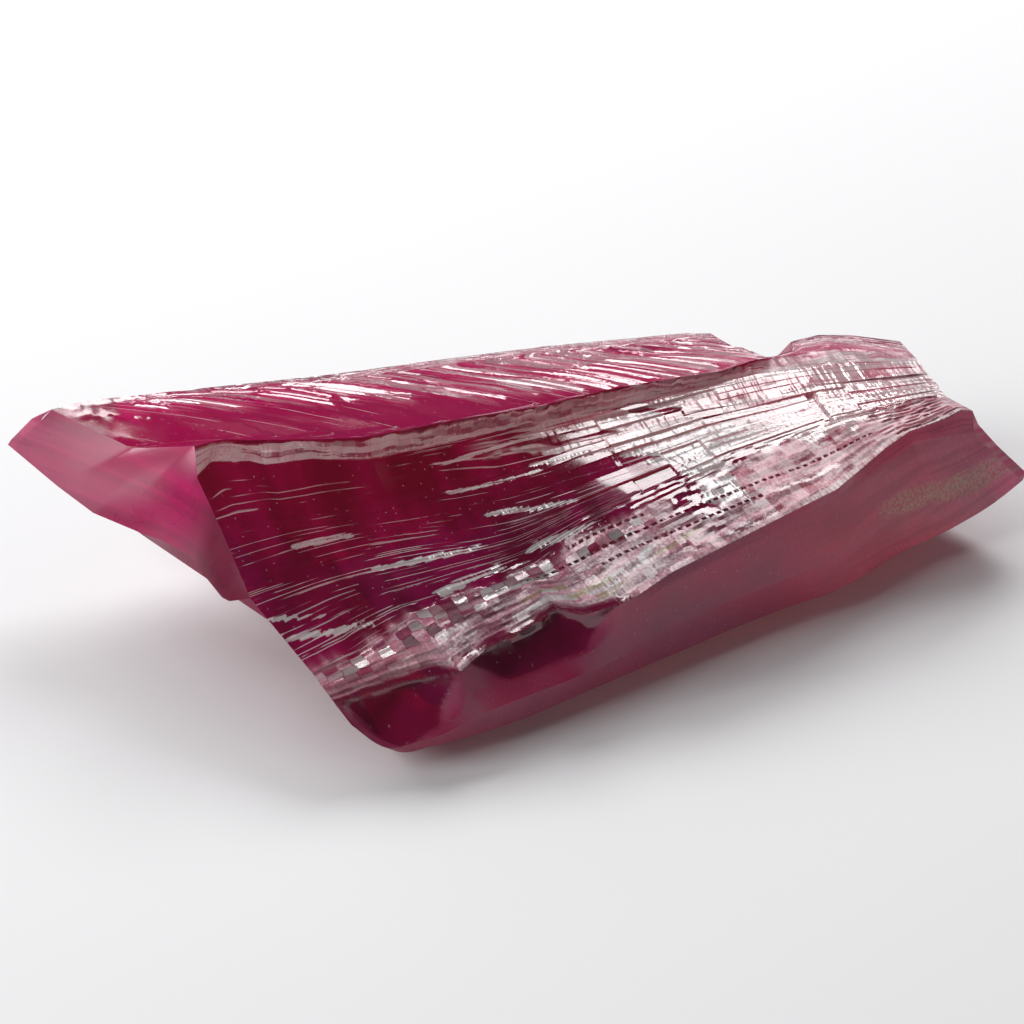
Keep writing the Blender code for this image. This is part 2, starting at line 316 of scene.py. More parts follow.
@dataclass
class SplitFace:
    """The stepped upper face: frosted band, main face, ridge and valley, from front rim to back rim.

    Args:
        front_rim: Line along the front, where the skin starts. This line and the next seven are in
            millimetres, from the near end to the far end.
        band_edge: Upper border of the frosted band.
        lower_face: Line along the lower part of the main face.
        upper_face: Line along its upper part.
        ridge_foot: Where the ridge starts.
        crest: Top of the ridge.
        valley: Floor of the valley behind the ridge.
        back_rim: Toothed line along the back, with its stepped notch.
        rim_steps: Places along X where the notch of the back rim steps.
        widths: Millimetres across the face, from the front rim to each line, at the near end.
        ledges: Place across and strength of each ledge of the main face.
        ledge_rise: Height of the strongest ledge.
        plate_rise: Most that two plates differ in height.
        joined: Share of the plates that run on past a step.
        plate_length: Length of a plate.
        plates_from: Where the plates start along the crystal.
        plates_to: Where they end.
        crack_drop: Depth of the step that crosses the plates.
        crack_width: Its width, as a share of the crystal's length.
        fan: How far the grain of the main face fans out.
        fan_reach: Where along the crystal it has done so.
        tile_rise: Height of the tiles.
        tile_size: Length and width of a tile.
        hackle_rise: Height of the teeth along the back rim.
        tooth_lengths: Lengths of the large and the small teeth.
        sweep_rise: Height of the steps that sweep across the valley.
        sweep_length: From one of them to the next.
        line_spots: Where fracture lines are dense.
        clear_spots: Where the red is clean, without frost or plates.
        white_spots: Where the tiles are whitest.
        wisps: Streaks of crushed stone.
        pit_rows: Rows of pits.
        olive_spots: Where the olive film lies.
    """

    front_rim: Guide = Guide(0.0, (
        (-13.0, -8.2, 3.3), (-11.6, -8.4, 3.5), (-10.1, -8.7, 3.7), (-8.9, -9.1, 3.8), (-8.1, -9.7, 4.0),
        (-7.3, -9.3, 4.1), (-6.1, -8.8, 4.2), (-5.1, -8.9, 4.4), (-3.7, -8.6, 4.5), (-2.7, -8.3, 4.6),
        (-1.8, -9.4, 4.7), (-0.4, -9.8, 4.9), (0.6, -9.6, 5.0), (2.5, -9.1, 5.2), (5.6, -8.9, 5.6),
        (9.1, -8.6, 6.0), (11.2, -8.4, 6.2), (12.9, -7.7, 6.3), (14.7, -7.0, 6.5), (16.3, -6.5, 6.6),
        (18.2, -6.5, 6.7), (19.0, -6.5, 6.9), (19.5, -6.7, 6.8)))
    band_edge: Guide = Guide(1.0, (
        (-13.3, -6.8, 4.1), (-11.3, -7.0, 4.5), (-8.6, -6.5, 5.0), (-4.5, -6.5, 5.4), (-2.5, -6.5, 5.6),
        (0.6, -5.7, 6.0), (3.0, -5.6, 6.3), (8.4, -5.1, 6.8), (13.7, -4.9, 7.1), (19.1, -5.2, 6.9)))
    lower_face: Guide = Guide(2.0, (
        (-14.1, -2.9, 5.8), (-10.0, -3.2, 6.1), (-4.0, -3.5, 6.6), (2.0, -3.1, 7.1), (8.0, -3.1, 7.4),
        (14.0, -3.4, 7.3), (19.4, -4.2, 6.9)))
    upper_face: Guide = Guide(3.0, (
        (-14.0, -0.2, 7.6), (-10.0, -0.9, 7.5), (-4.0, -1.7, 7.6), (2.0, -1.5, 7.7), (8.0, -1.8, 7.8),
        (14.0, -2.1, 7.5), (19.6, -3.0, 6.9)))
    ridge_foot: Guide = Guide(4.0, (
        (-14.2, 1.5, 9.3), (-13.3, 2.0, 9.5), (-11.8, 1.5, 9.4), (-11.3, 1.0, 9.3), (-9.6, 0.5, 9.3),
        (-7.1, -0.5, 9.0), (-4.6, -0.4, 8.8), (-0.6, -0.4, 8.5), (5.4, -0.6, 8.1), (12.1, -0.9, 7.9),
        (17.0, -1.3, 7.3), (19.9, -2.0, 6.9)))
    crest: Guide = Guide(5.0, (
        (-13.8, 2.5, 10.2), (-12.6, 2.4, 10.2), (-9.1, 0.8, 10.0), (-7.1, 0.2, 9.8), (-2.9, 0.0, 9.5),
        (1.1, -0.2, 9.1), (4.8, -0.2, 8.9), (8.4, -0.6, 8.7), (10.2, -0.7, 8.5), (12.2, -0.3, 8.3),
        (13.7, 0.3, 7.7), (17.0, 0.2, 7.3), (20.1, -1.2, 6.8)))
    valley: Guide = Guide(6.0, (
        (-15.2, 5.8, 8.8), (-12.0, 4.7, 8.9), (-8.0, 3.1, 8.6), (-4.0, 2.2, 8.3), (0.0, 1.9, 8.0),
        (4.0, 1.8, 7.7), (8.0, 1.4, 7.4), (12.0, 1.4, 7.2), (13.2, 1.2, 7.2), (14.2, 0.8, 7.3),
        (17.0, 0.9, 7.2), (20.2, -0.6, 6.8)))
    back_rim: Guide = Guide(7.0, (
        (-17.2, 9.5, 9.4), (-15.6, 9.6, 9.3), (-12.0, 9.2, 8.9), (-7.7, 8.7, 8.4), (-4.8, 8.3, 8.1),
        (0.1, 7.9, 7.6), (3.2, 7.4, 7.4), (5.9, 7.0, 7.2), (9.5, 6.1, 7.0), (12.1, 5.2, 7.0),
        (13.08, 4.6, 7.0), (13.18, 3.15, 7.0), (13.50, 2.65, 7.1), (13.62, 2.2, 7.1), (13.72, 1.5, 7.1),
        (13.84, 1.2, 7.2), (14.2, 1.1, 7.2), (15.2, 1.3, 7.1), (15.7, 2.0, 7.1), (17.1, 1.9, 7.1),
        (18.3, 1.2, 7.1), (20.3, 0.0, 6.8)))
    rim_steps: tuple[float, ...] = (13.13, 13.56, 13.78)
    widths: tuple[float, ...] = (0.0, 2.4, 5.4, 8.2, 10.0, CREST_MM, 14.6, 19.5)
    ledges: tuple[tuple[float, float], ...] = (
        (1.28, 0.8), (1.55, 1.0), (1.85, 0.7), (2.2, 1.2), (2.5, 0.8), (2.78, 1.0), (3.1, 0.7),
        (3.42, 1.1), (3.72, 0.7))
    ledge_rise: float = 0.17
    plate_rise: float = 0.20
    joined: float = 0.55
    plate_length: float = 1.9
    plates_from: float = 17.0
    plates_to: float = 31.0
    crack_drop: float = 0.14
    crack_width: float = 0.010
    fan: float = 2.3
    fan_reach: float = 18.0
    tile_rise: float = 0.07
    tile_size: tuple[float, float] = (0.62, 0.30)
    hackle_rise: float = 0.11
    tooth_lengths: tuple[float, float] = (1.25, 0.55)
    sweep_rise: float = 0.13
    sweep_length: float = 2.3
    line_spots: tuple[Spot, ...] = (
        Spot(2.0, 1.55, 5.0, 0.95, -0.05, 1.0), Spot(4.0, 2.50, 9.0, 0.42, -0.055, 1.0),
        Spot(3.0, 3.40, 7.5, 0.30, 0.01, 0.70), Spot(9.0, 1.55, 9.0, 0.60, -0.05, 0.9),
        Spot(14.0, 3.30, 10.0, 1.20, -0.06, 1.0), Spot(14.0, 1.40, 7.0, 0.80, -0.03, 1.0),
        Spot(25.0, 2.4, 15.0, 3.4, 0.0, 0.9))
    clear_spots: tuple[Spot, ...] = (
        Spot(18.3, 1.22, 1.7, 1.25, -0.25), Spot(20.4, 3.15, 5.6, 0.50, -0.42),
        Spot(16.6, 3.1, 2.6, 0.30, -0.2), Spot(26.6, 1.7, 0.35, 1.3, 0.0, 0.7),
        Spot(2.4, 0.05, 5.2, 0.22, 0.0, 1.0), Spot(9.0, 0.03, 7.2, 0.14, 0.0, 1.0),
        Spot(6.9, 0.12, 2.4, 0.10, 0.0, 0.8), Spot(11.8, 0.10, 3.0, 0.08, 0.0, 0.7),
        Spot(20.0, 0.12, 3.4, 0.09, 0.0, 0.7),
        Spot(19.8, 0.83, 2.2, 0.09, -0.02, 0.8), Spot(23.6, 0.34, 3.0, 0.08, -0.02, 0.7))
    white_spots: tuple[Spot, ...] = (
        Spot(2.9, 0.76, 6.4, 0.42, 0.02, 1.0), Spot(9.0, 0.86, 6.6, 0.30, 0.0, 1.0),
        Spot(14.2, 0.82, 4.0, 0.16, -0.01, 0.8))
    wisps: tuple[Spot, ...] = (
        Spot(7.0, 1.72, 5.2, 0.07, -0.048, 1.0), Spot(3.5, 2.53, 2.6, 0.08, -0.03, 0.9),
        Spot(8.3, 1.20, 3.4, 0.12, 0.01, 0.9), Spot(12.2, 1.85, 4.0, 0.09, -0.12, 1.0),
        Spot(12.8, 1.15, 3.4, 0.12, -0.08, 0.9), Spot(11.5, 2.65, 3.6, 0.10, -0.06, 1.0),
        Spot(12.0, 3.55, 5.0, 0.12, 0.02, 1.0), Spot(1.6, 1.35, 3.2, 0.07, -0.08, 0.9),
        Spot(1.0, 1.62, 2.2, 0.05, -0.08, 0.9), Spot(15.8, 2.55, 5.0, 0.14, -0.10, 1.0),
        Spot(10.2, 0.30, 3.0, 0.12, 0.02, 0.9), Spot(14.0, 0.35, 3.6, 0.14, 0.02, 0.9),
        Spot(11.4, 0.52, 2.0, 0.08, 0.05, 0.8), Spot(6.6, 0.55, 2.6, 0.10, 0.0, 0.6))
    pit_rows: tuple[Spot, ...] = (
        Spot(16.4, 0.70, 13.4, 0.115, -0.0205), Spot(17.2, 0.49, 8.6, 0.115, -0.0215),
        Spot(25.5, 0.52, 5.0, 0.115, -0.020), Spot(14.4, 0.94, 4.0, 0.10, -0.0205))
    olive_spots: tuple[Spot, ...] = (
        Spot(10.4, 0.50, 2.0, 0.07, 0.04), Spot(12.2, 0.36, 2.2, 0.09, 0.03),
        Spot(12.9, 0.22, 1.6, 0.06, 0.03), Spot(16.4, 0.34, 2.6, 0.06, 0.02))

    @property
    def guides(self) -> list[Guide]:
        """The lines in order across the face."""
        return [self.front_rim, self.band_edge, self.lower_face, self.upper_face, self.ridge_foot,
                self.crest, self.valley, self.back_rim]

    @property
    def plate_edges(self) -> list[float]:
        """Stations where one plate steps to the next."""
        places = np.arange(self.plates_from, self.plates_to, self.plate_length)
        return [float(x) / self.front_rim.length for x in places]

    def millimetres_across(self, rows: np.ndarray) -> np.ndarray:
        """Distance across the face from the front rim, as at the near end."""
        return np.interp(rows, range(len(self.widths)), self.widths)

    def grid(self, rows: np.ndarray, stations: np.ndarray) -> tuple[np.ndarray, np.ndarray, np.ndarray]:
        """Place across, station and millimetres along at each crossing of rows and stations."""
        v, w = np.meshgrid(rows, stations, indexing="ij")
        return v, w, w * self.front_rim.length

    @property
    def steps(self) -> tuple[list[float], list[float]]:
        """Places across of the ledges with both borders of the face, and their strengths."""
        return [1.0, *[p for p, _ in self.ledges], 4.0], [0.0, *[s for _, s in self.ledges], 0.0]

    def relief(self, rows: np.ndarray, stations: np.ndarray) -> np.ndarray:
        """Heights that the break adds to the plain face.

        Args:
            rows: Places across.
            stations: Places along.

        Returns:
            Heights in millimetres, none of them at the rims and ends.
        """
        dice = np.random.RandomState(7)
        v, w, x = self.grid(rows, stations)
        inner = fade(w, 0.0, 0.03) * (1 - fade(w, 0.975, 1.0))
        rims = fade(v, 0.0, 0.05) * (1 - fade(v, 6.96, BACK_RIM))
        dz = self._ledge_relief(v, w) + self._plate_relief(v, w, dice)
        dz += self._tile_relief(v, x) + self._valley_relief(v, x)
        dz += window(v, 4.1, 4.95, 0.1) * (0.07 * wander(x, 31, 0.30) + 0.06 * wander(x + v, 32, 0.9))
        dz += window(v, 1.0, 4.0, 0.15) * 0.05 * wander(x + 3.0 * v, 33, 2.4)
        return dz * inner * rims

    def _ledge_relief(self, v: np.ndarray, w: np.ndarray) -> np.ndarray:
        """Sawtooth ledges that fan out along the main face.

        Args:
            v: Places across.
            w: Stations, 0 at the near end and 1 at the far end.

        Returns:
            Heights in millimetres.
        """
        dz = np.zeros_like(v)
        places, shares = self.steps
        for i in range(len(places) - 1):
            low, high = places[i], places[i + 1]
            s = np.clip((v - low) / (high - low), 0.0, 1.0)
            wave = 0.55 + 0.45 * np.sin(2.1 * i + 9.0 * w)
            wave = wave * (0.30 + 0.25 * fade(w, 0.38, 0.50) - 0.33 * fade(w, 0.56, 0.72))
            saw = ((1 - s) * shares[i] - s * shares[i + 1]) * self.ledge_rise * 0.5 * wave
            dz += np.where((v > low) & (v < high), saw, 0.0)
        return dz

    def _plate_relief(self, v: np.ndarray, w: np.ndarray, dice: np.random.RandomState) -> np.ndarray:
        """Stepped, slightly tilted plates of the far half, and the deep step that crosses them.

        Args:
            v: Places across.
            w: Stations, 0 at the near end and 1 at the far end.
            dice: Draws the random numbers.

        Returns:
            Heights in millimetres.
        """
        dz = np.zeros_like(v)
        places, edges = self.steps[0], self.plate_edges
        block = np.searchsorted(edges, w.ravel()).reshape(w.shape)
        for i in range(1, len(places) - 1):
            low, high = places[i], places[i + 1]
            rise = dice.uniform(-0.5, 0.5, len(edges) + 1) * self.plate_rise
            for k in np.nonzero(dice.uniform(size=len(edges)) < self.joined)[0]:
                rise[k + 1] = rise[k]
            here = (v > low) & (v < high) & (w > edges[0])
            dz += np.where(here, rise[block] * (1 - 0.55 * fade(w, 0.55, 0.75)), 0.0)
        crossing = (w > edges[5]) & (w < edges[5] + self.crack_width) & (v > 1.1) & (v < 2.5)
        return dz - np.where(crossing, self.crack_drop, 0.0)

    def _tile_relief(self, v: np.ndarray, x: np.ndarray) -> np.ndarray:
        """Rows of small tilted tiles along the frosted band and the far corner.

        Args:
            v: Places across.
            x: Millimetres along from the near end.

        Returns:
            Heights in millimetres.
        """
        mm = self.millimetres_across(v) + 0.12 * wander(x, 41, 1.5)
        row = np.floor(mm / self.tile_size[1])
        along = x / self.tile_size[0] + 0.37 * row + 0.3 * wander(row * 3.1 + x, 43, 1.2)
        tile = np.floor(along)
        s, t = along - tile, mm / self.tile_size[1] - row
        pick = np.modf(np.abs(np.sin(tile * 12.9898 + row * 78.233)) * 43758.5453)[0]
        lean = np.modf(np.abs(np.sin(tile * 39.346 + row * 11.135)) * 24634.6345)[0]
        height = (pick - 0.5) + (lean - 0.5) * (s - 0.5) * 1.6 + (0.5 - t) * 0.9
        zone = window(v, 0.04, 1.25, 0.04)
        return zone * self.tile_rise * height * (0.6 + 0.4 * wander(x, 45, 3.0))

    def _valley_relief(self, v: np.ndarray, x: np.ndarray) -> np.ndarray:
        """Steps that sweep across the valley, and the comb of teeth along the back rim.

        Args:
            v: Places across.
            x: Millimetres along from the near end.

        Returns:
            Heights in millimetres.
        """
        back = self.millimetres_across(v) - CREST_MM
        turn = (x + 0.075 * back**2 + 1.1 * wander(x, 51, 3.1)) / self.sweep_length
        saw = (turn % 1.0) - 0.5
        uneven = 0.65 + 0.35 * wander(np.floor(turn), 52, 1.3)
        dz = window(v, 5.45, 6.9, 0.15) * self.sweep_rise * saw * uneven
        first = (x + 0.5 * back + 0.9 * wander(x, 53, 1.4)) / self.tooth_lengths[0]
        second = (x + 0.9 * back + 0.5 * wander(x, 54, 0.8)) / self.tooth_lengths[1]
        comb = (first % 1.0) * 0.7 + (second % 1.0) * 0.3 * (0.5 + 0.5 * wander(x, 56, 1.7))
        tall = fade(v + 0.12 * wander(x, 57, 0.9), 6.35, 6.7) * (0.55 + 0.45 * wander(x, 55, 2.2))
        return dz - tall * self.hackle_rise * comb * 1.6

    def masks(self, rows: np.ndarray, stations: np.ndarray) -> dict[Mask, np.ndarray]:
        """Zones of the face.

        Args:
            rows: Places across.
            stations: Places along.

        Returns:
            Numbers from 0 to 1 for each zone.
        """
        v, w, x = self.grid(rows, stations)
        edge = 0.10 * wander(x, 61, 0.9) + 0.06 * wander(x, 62, 0.25)
        clear = spots_over(self.clear_spots, v, x)
        band = (1 - fade(v + edge, 0.90, 1.15)) * (1 - 0.9 * clear)
        ridge = window(v + 0.5 * edge, 4.05, 4.85, 0.06)
        start = np.interp(x, (0.0, 10.0, 15.0, 22.0, 27.0), (6.50, 6.45, 6.15, 5.85, 5.80))
        rim = fade(v + 1.2 * edge, start, start + 0.3)
        far = fade(w + 0.05 * wander(x + 3 * v, 63, 2.0), 0.72, 0.95) * fade(v, 1.0, 2.4)
        plates = self._plates(v, x, edge) * (1 - clear)
        end = fade(x + 0.6 * wander(v * 3.0, 66, 0.6), 29.5, 31.5)
        corner = fade(v - 0.27 * x + 0.5 * edge, 6.22, 6.36) * (1 - fade(x, 2.2, 3.6))
        frost = (0.92 * band + 0.40 * far) * (1 - 0.8 * plates) + ridge
        frost = frost + (0.10 + 0.38 * fade(x, 5.0, 15.0)) * rim + 0.5 * end
        frost = frost + 0.25 * fade(x, 26.0, 30.0) * fade(v, 5.0, 6.0) + 0.2 * corner
        pale = band + 0.9 * far + (0.05 + 0.65 * fade(x, 3.0, 17.0)) * rim + ridge + 0.08 * corner
        # Painted glow: behind the crest, along the back rim and at the far end the red is painted brighter,
        # as light coming through.
        behind = 0.42 * window(v, CREST, 7.2, 0.12) + 0.5 * rim
        tiles = band * 0.20 + spots_over(self.white_spots, v, x) + 0.15 * far
        lip = 0.03 + 0.16 * fade(x, 21.0, 25.0)
        bruise = (1 - fade(v + 0.3 * edge, 0.0, lip)) * far_bruise(x)
        shares = {
            Mask.FROST: frost,
            Mask.PALE: pale,
            Mask.THIN: behind * (1 - 0.8 * corner) + 0.9 * far,
            Mask.LINES: 0.42 * window(v, 1.0, 4.0, 0.1) + spots_over(self.line_spots, v, x),
            Mask.SWEEP: window(v, 5.05, 6.95, 0.08),
            Mask.PLATES: plates,
            # The ridge gets pale tiles and wisps as painted sheen, standing for the light it mirrors.
            Mask.TILES: tiles + 0.65 * rim * fade(x, 1.0, 6.0) + 0.35 * ridge,
            Mask.WISP: spots_over(self.wisps, v, x) + ridge * (1 - 0.4 * fade(x, 9.0, 14.0)),
            Mask.PITS: self._pit_rows(v, x),
            Mask.OLIVE: spots_over(self.olive_spots, v, x),
            Mask.EDGE: bruise + fade(v, 6.93, BACK_RIM),
        }
        return {mask: np.clip(share, 0, 1) for mask, share in shares.items()}

    @staticmethod
    def _plates(v: np.ndarray, x: np.ndarray, edge: np.ndarray) -> np.ndarray:
        """Where the level plates lie, between a ragged lower border and the ridge.

        Args:
            v: Places across.
            x: Millimetres along from the near end.
            edge: How far the borders wander.

        Returns:
            Numbers from 0 to 1.
        """
        low = np.interp(x, (11.0, 14.0, 16.5, 18.0, 18.5, 20.7, 21.2, 24.6, 25.0, 29.4, 30.0, 33.0),
                        (3.3, 2.9, 2.45, 1.8, 0.35, 0.30, 1.2, 1.0, 0.55, 0.50, 1.0, 1.2))
        below_ridge = 1 - fade(v + edge, 4.15, 4.45)
        return fade(v + 2.0 * edge, low, low + 0.35) * below_ridge * fade(x, 10.0, 17.0)

    def _pit_rows(self, v: np.ndarray, x: np.ndarray) -> np.ndarray:
        """The narrow rows in which the pits lie.

        Args:
            v: Places across.
            x: Millimetres along from the near end.

        Returns:
            Numbers from 0 to 1.
        """
        rows = []
        for spot in self.pit_rows:
            off = np.abs(v - spot.place - spot.lean * (x - spot.x) + 0.012 * wander(x, int(spot.x), 1.1))
            rows.append((1 - fade(off, 0.4 * spot.width, spot.width))
                        * (1 - fade(np.abs(x - spot.x), 0.45 * spot.length, 0.5 * spot.length)))
        return np.max(rows, axis=0)

    def patch(self, rows: np.ndarray, stations: np.ndarray) -> Patch:
        """The face as a patch, its rims exactly on the rim lines.

        Args:
            rows: Places across.
            stations: Places along.

        Returns:
            The patch.
        """
        points = between(self.guides, rows, stations)
        points[..., 2] += self.relief(rows, stations)
        points[0], points[-1] = self.front_rim.at(stations), self.back_rim.at(stations)
        v, _, x = self.grid(rows, stations)
        fan = fade(v, 1.0, 1.8) * (1 - fade(v, 2.0, 4.0)) * self.fan * fade(x, 2.0, self.fan_reach)
        return Patch(points, x, self.millimetres_across(v) + fan, self.masks(rows, stations))


@dataclass
class Underside:
    """The curved frosted skin from the front rim, under the piece, up to the back rim.

    Args:
        chip_edge: Lower border of the chips. This line and the next seven are in millimetres, from the
            near end to the far end.
        skin_middle: Line along the middle of the skin.
        skin_foot: Line along its foot.
        under_front: Front line of the underside.
        rest_front: Front border of the flat rest.
        rest_back: Back border of the flat rest.
        back_lower: Lower line of the back.
        back_bulge: Where the back stands out most.
        corner_chip: Places along X where the chip at the near corner starts, is deep, is still deep and ends.
        rim_chip: The same for the chip under the front rim.
        corner_depth: Depth of the chip at the corner.
        rim_depth: Depth of the chip under the rim.
        chip_place: Place across where the chips end.
        cut: Share of the depth that goes back and up.
        ripple: Height of the shell-shaped waves in the chip under the rim.
        stain_from: Where the rock dust starts along the crystal.
        widths: Place across and millimetres from the front rim, for the grain.
    """

    chip_edge: Guide = Guide(0.33, (
        (-12.8, -8.4, 2.9), (-12.2, -8.9, 2.3), (-11.6, -9.4, 1.8), (-11.0, -9.8, 1.5), (-10.4, -10.0, 1.6),
        (-9.3, -10.2, 2.0), (-8.3, -10.2, 2.5), (-8.0, -10.1, 3.1), (-7.2, -9.8, 3.0), (-5.8, -9.7, 2.9),
        (-4.6, -9.7, 2.8), (-3.7, -9.6, 2.8), (-1.9, -9.8, 3.1), (-1.1, -9.8, 3.6), (-0.4, -9.8, 4.4),
        (0.6, -9.7, 4.6), (2.5, -9.3, 4.9), (5.6, -9.1, 5.2), (9.2, -8.8, 5.6), (12.9, -7.9, 5.9),
        (16.3, -6.9, 6.2), (19.3, -7.2, 6.0)))
    skin_middle: Guide = Guide(0.66, (
        (-12.6, -8.8, 2.5), (-11.7, -9.5, 1.6), (-10.1, -10.2, 1.7), (-7.2, -10.4, 2.2), (-1.3, -10.1, 2.4),
        (3.3, -9.5, 2.9), (10.9, -9.2, 3.5), (15.4, -7.9, 3.9), (18.4, -7.6, 4.3), (20.0, -7.8, 5.0)), True)
    skin_foot: Guide = Guide(1.0, (
        (-12.2, -8.9, 2.2), (-11.1, -9.6, 1.2), (-9.4, -10.0, 1.1), (-7.1, -10.2, 1.1), (-1.2, -9.8, 1.2),
        (3.1, -9.4, 1.3), (8.5, -9.0, 1.4), (10.8, -9.1, 1.5), (15.1, -8.1, 1.6), (18.2, -7.9, 1.9),
        (20.7, -7.9, 2.7), (21.4, -8.2, 3.4)), True)
    under_front: Guide = Guide(1.4, (
        (-11.2, -8.3, 0.9), (-10.0, -8.7, 0.55), (-4.0, -8.7, 0.5), (6.0, -7.9, 0.5), (15.0, -6.8, 0.7),
        (20.7, -7.2, 1.9)), True)
    rest_front: Guide = Guide(1.8, (
        (-11.0, -6.0, 0.9), (-8.4, -6.6, 0.0), (-4.0, -6.9, 0.0), (6.0, -6.2, 0.0), (11.0, -5.4, 0.0),
        (16.0, -5.2, 0.3), (20.1, -6.2, 1.1)))
    rest_back: Guide = Guide(4.0, (
        (-11.4, 0.7, 1.6), (-8.0, 1.0, 0.0), (0.0, 1.2, 0.0), (6.0, 0.8, 0.0), (11.0, 0.0, 0.0),
        (19.0, -1.8, 1.0)))
    back_lower: Guide = Guide(5.2, (
        (-14.2, 7.0, 3.3), (-8.0, 6.0, 1.7), (0.0, 5.2, 1.4), (8.0, 4.3, 1.4), (14.0, 2.0, 1.6),
        (19.3, 0.1, 2.1)), True)
    back_bulge: Guide = Guide(6.6, (
        (-18.0, 11.7, 6.6), (-14.0, 10.8, 5.9), (-10.0, 10.1, 5.4), (0.0, 9.0, 4.7), (8.0, 7.3, 4.4),
        (12.0, 6.2, 4.4), (15.0, 4.2, 4.5), (18.0, 2.5, 4.7), (20.1, 1.2, 5.0)), True)
    corner_chip: tuple[float, float, float, float] = (-12.9, -11.6, -9.6, -8.2)
    rim_chip: tuple[float, float, float, float] = (-7.4, -5.6, -2.6, -0.6)
    corner_depth: float = 0.85
    rim_depth: float = 0.70
    chip_place: float = 0.33
    cut: tuple[float, float] = (0.85, 0.25)
    ripple: float = 0.05
    stain_from: float = 26.0
    widths: tuple[tuple[float, float], ...] = (
        (0, 0.0), (0.33, 1.4), (1.0, 4.2), (1.8, 7.5), (4.0, 15.0), (7.0, 26.0))

    def guides(self, face: SplitFace) -> list[Guide]:
        """The lines in order, from the front rim round to the back rim."""
        return [face.front_rim, self.chip_edge, self.skin_middle, self.skin_foot,
                self.under_front, self.rest_front, self.rest_back, self.back_lower, self.back_bulge,
                face.back_rim]

    def chips(self, v: np.ndarray, x: np.ndarray) -> tuple[np.ndarray, np.ndarray]:
        """The two chips under the front rim.

        Args:
            v: Places across.
            x: Places along, in millimetres from the crystal's middle.

        Returns:
            How deep they cut in millimetres, and where they are from 0 to 1.
        """
        s = np.clip(v / self.chip_place, 0.0, 1.0)
        bowl = np.where(v < self.chip_place, 4 * s * (1 - s), 0.0)
        chips = (self.corner_chip, self.rim_chip)
        corner, rim = [fade(x, a, b) * (1 - fade(x, c, d)) for a, b, c, d in chips]
        tall = np.maximum(corner, rim) ** 0.5 * (1 + 0.05 * wander(x, 73, 1.6))
        where = 1 - fade(v / self.chip_place, tall - 0.14, tall + 0.14)
        shell = np.hypot((x + 4.2) / 1.4, (v - 0.05) * 7.0)
        waves = np.sin(shell * 9.0) * self.ripple * np.clip(bowl * 2, 0, 1) * rim
        return bowl * (corner * self.corner_depth + rim * self.rim_depth) + waves, where

    def masks(self, rows: np.ndarray, stations: np.ndarray, face: SplitFace) -> dict[Mask, np.ndarray]:
        """Zones of the skin, from 0 to 1.

        Args:
            rows: Places across.
            stations: Places along.
            face: The split face, whose rims the skin shares.

        Returns:
            Numbers from 0 to 1 for each zone.
        """
        v, _, x = face.grid(rows, stations)
        _, chip = self.chips(v, x + face.front_rim.points[0][0])
        skin = 1 - chip
        middle = 0.615 + 0.030 * (x - 26.8) + 0.012 * wander(x, 71, 1.1)
        half = 0.040 + 0.006 * (x - 26.8) + 0.012 * wander(x, 72, 0.7)
        stain = 1 - fade(np.abs(v - middle), half, half + 0.05)
        glow = np.clip(0.10 + 0.16 * wander(x + 9.0 * v, 74, 0.9), 0, 1)
        return {
            Mask.FROST: skin,
            Mask.STAIN: stain * fade(x, self.stain_from, self.stain_from + 0.9),
            Mask.GROWTH: 0.9 * chip * (1 - fade(v, 0.05, 0.20)),
            # Painted light: towards the far end the skin is painted brighter and paler, where more light
            # falls on it, and the chips get a random painted glow of light coming through.
            Mask.THIN: 0.35 * fade(x, 10.0, 33.0) * skin + chip * glow,
            Mask.PALE: 0.36 * fade(x, 16.0, 33.0) * skin,
            Mask.EDGE: 0.7 * (1 - fade(v, 0.0, 0.03)) * far_bruise(x),
        }

    def patch(self, rows: np.ndarray, stations: np.ndarray, face: SplitFace) -> Patch:
        """The skin as a patch that shares the rims of the split face.

        Args:
            rows: Places across.
            stations: Places along.
            face: The split face, whose rims the skin shares.

        Returns:
            The patch.
        """
        points = between(self.guides(face), rows, stations)
        v, _, x = face.grid(rows, stations)
        hollow, _ = self.chips(v, x + face.front_rim.points[0][0])
        points[..., 1] += hollow * self.cut[0]
        points[..., 2] += hollow * self.cut[1]
        points[0], points[-1] = face.front_rim.at(stations), face.back_rim.at(stations)
        across = -np.interp(v, *zip(*self.widths))
        return Patch(points, x, across, self.masks(rows, stations, face))


def strip(a: np.ndarray, b: np.ndarray, count: int, bow: float = 0.0,
          way: Point = (0.0, 0.0, 0.0), early: float = 1.0) -> np.ndarray:
    """Surface between two matched edges.

    Args:
        a: Points of the first edge.
        b: Points of the second.
        count: Columns, the edges included.
        bow: How far the middle bulges, as a share of the distance.
        way: Direction of the bulge.
        early: Below 1, the bulge comes sooner after the first edge.

    Returns:
        A grid with one row for each pair of points.
    """
    t = np.linspace(0.0, 1.0, count)[None, :, None]
    reach = np.linalg.norm(b - a, axis=1)[:, None, None]
    grid = a[:, None, :] * (1 - t) + b[:, None, :] * t
    return grid + 4 * t**early * (1 - t) * bow * reach * np.array(way)[None, None, :]


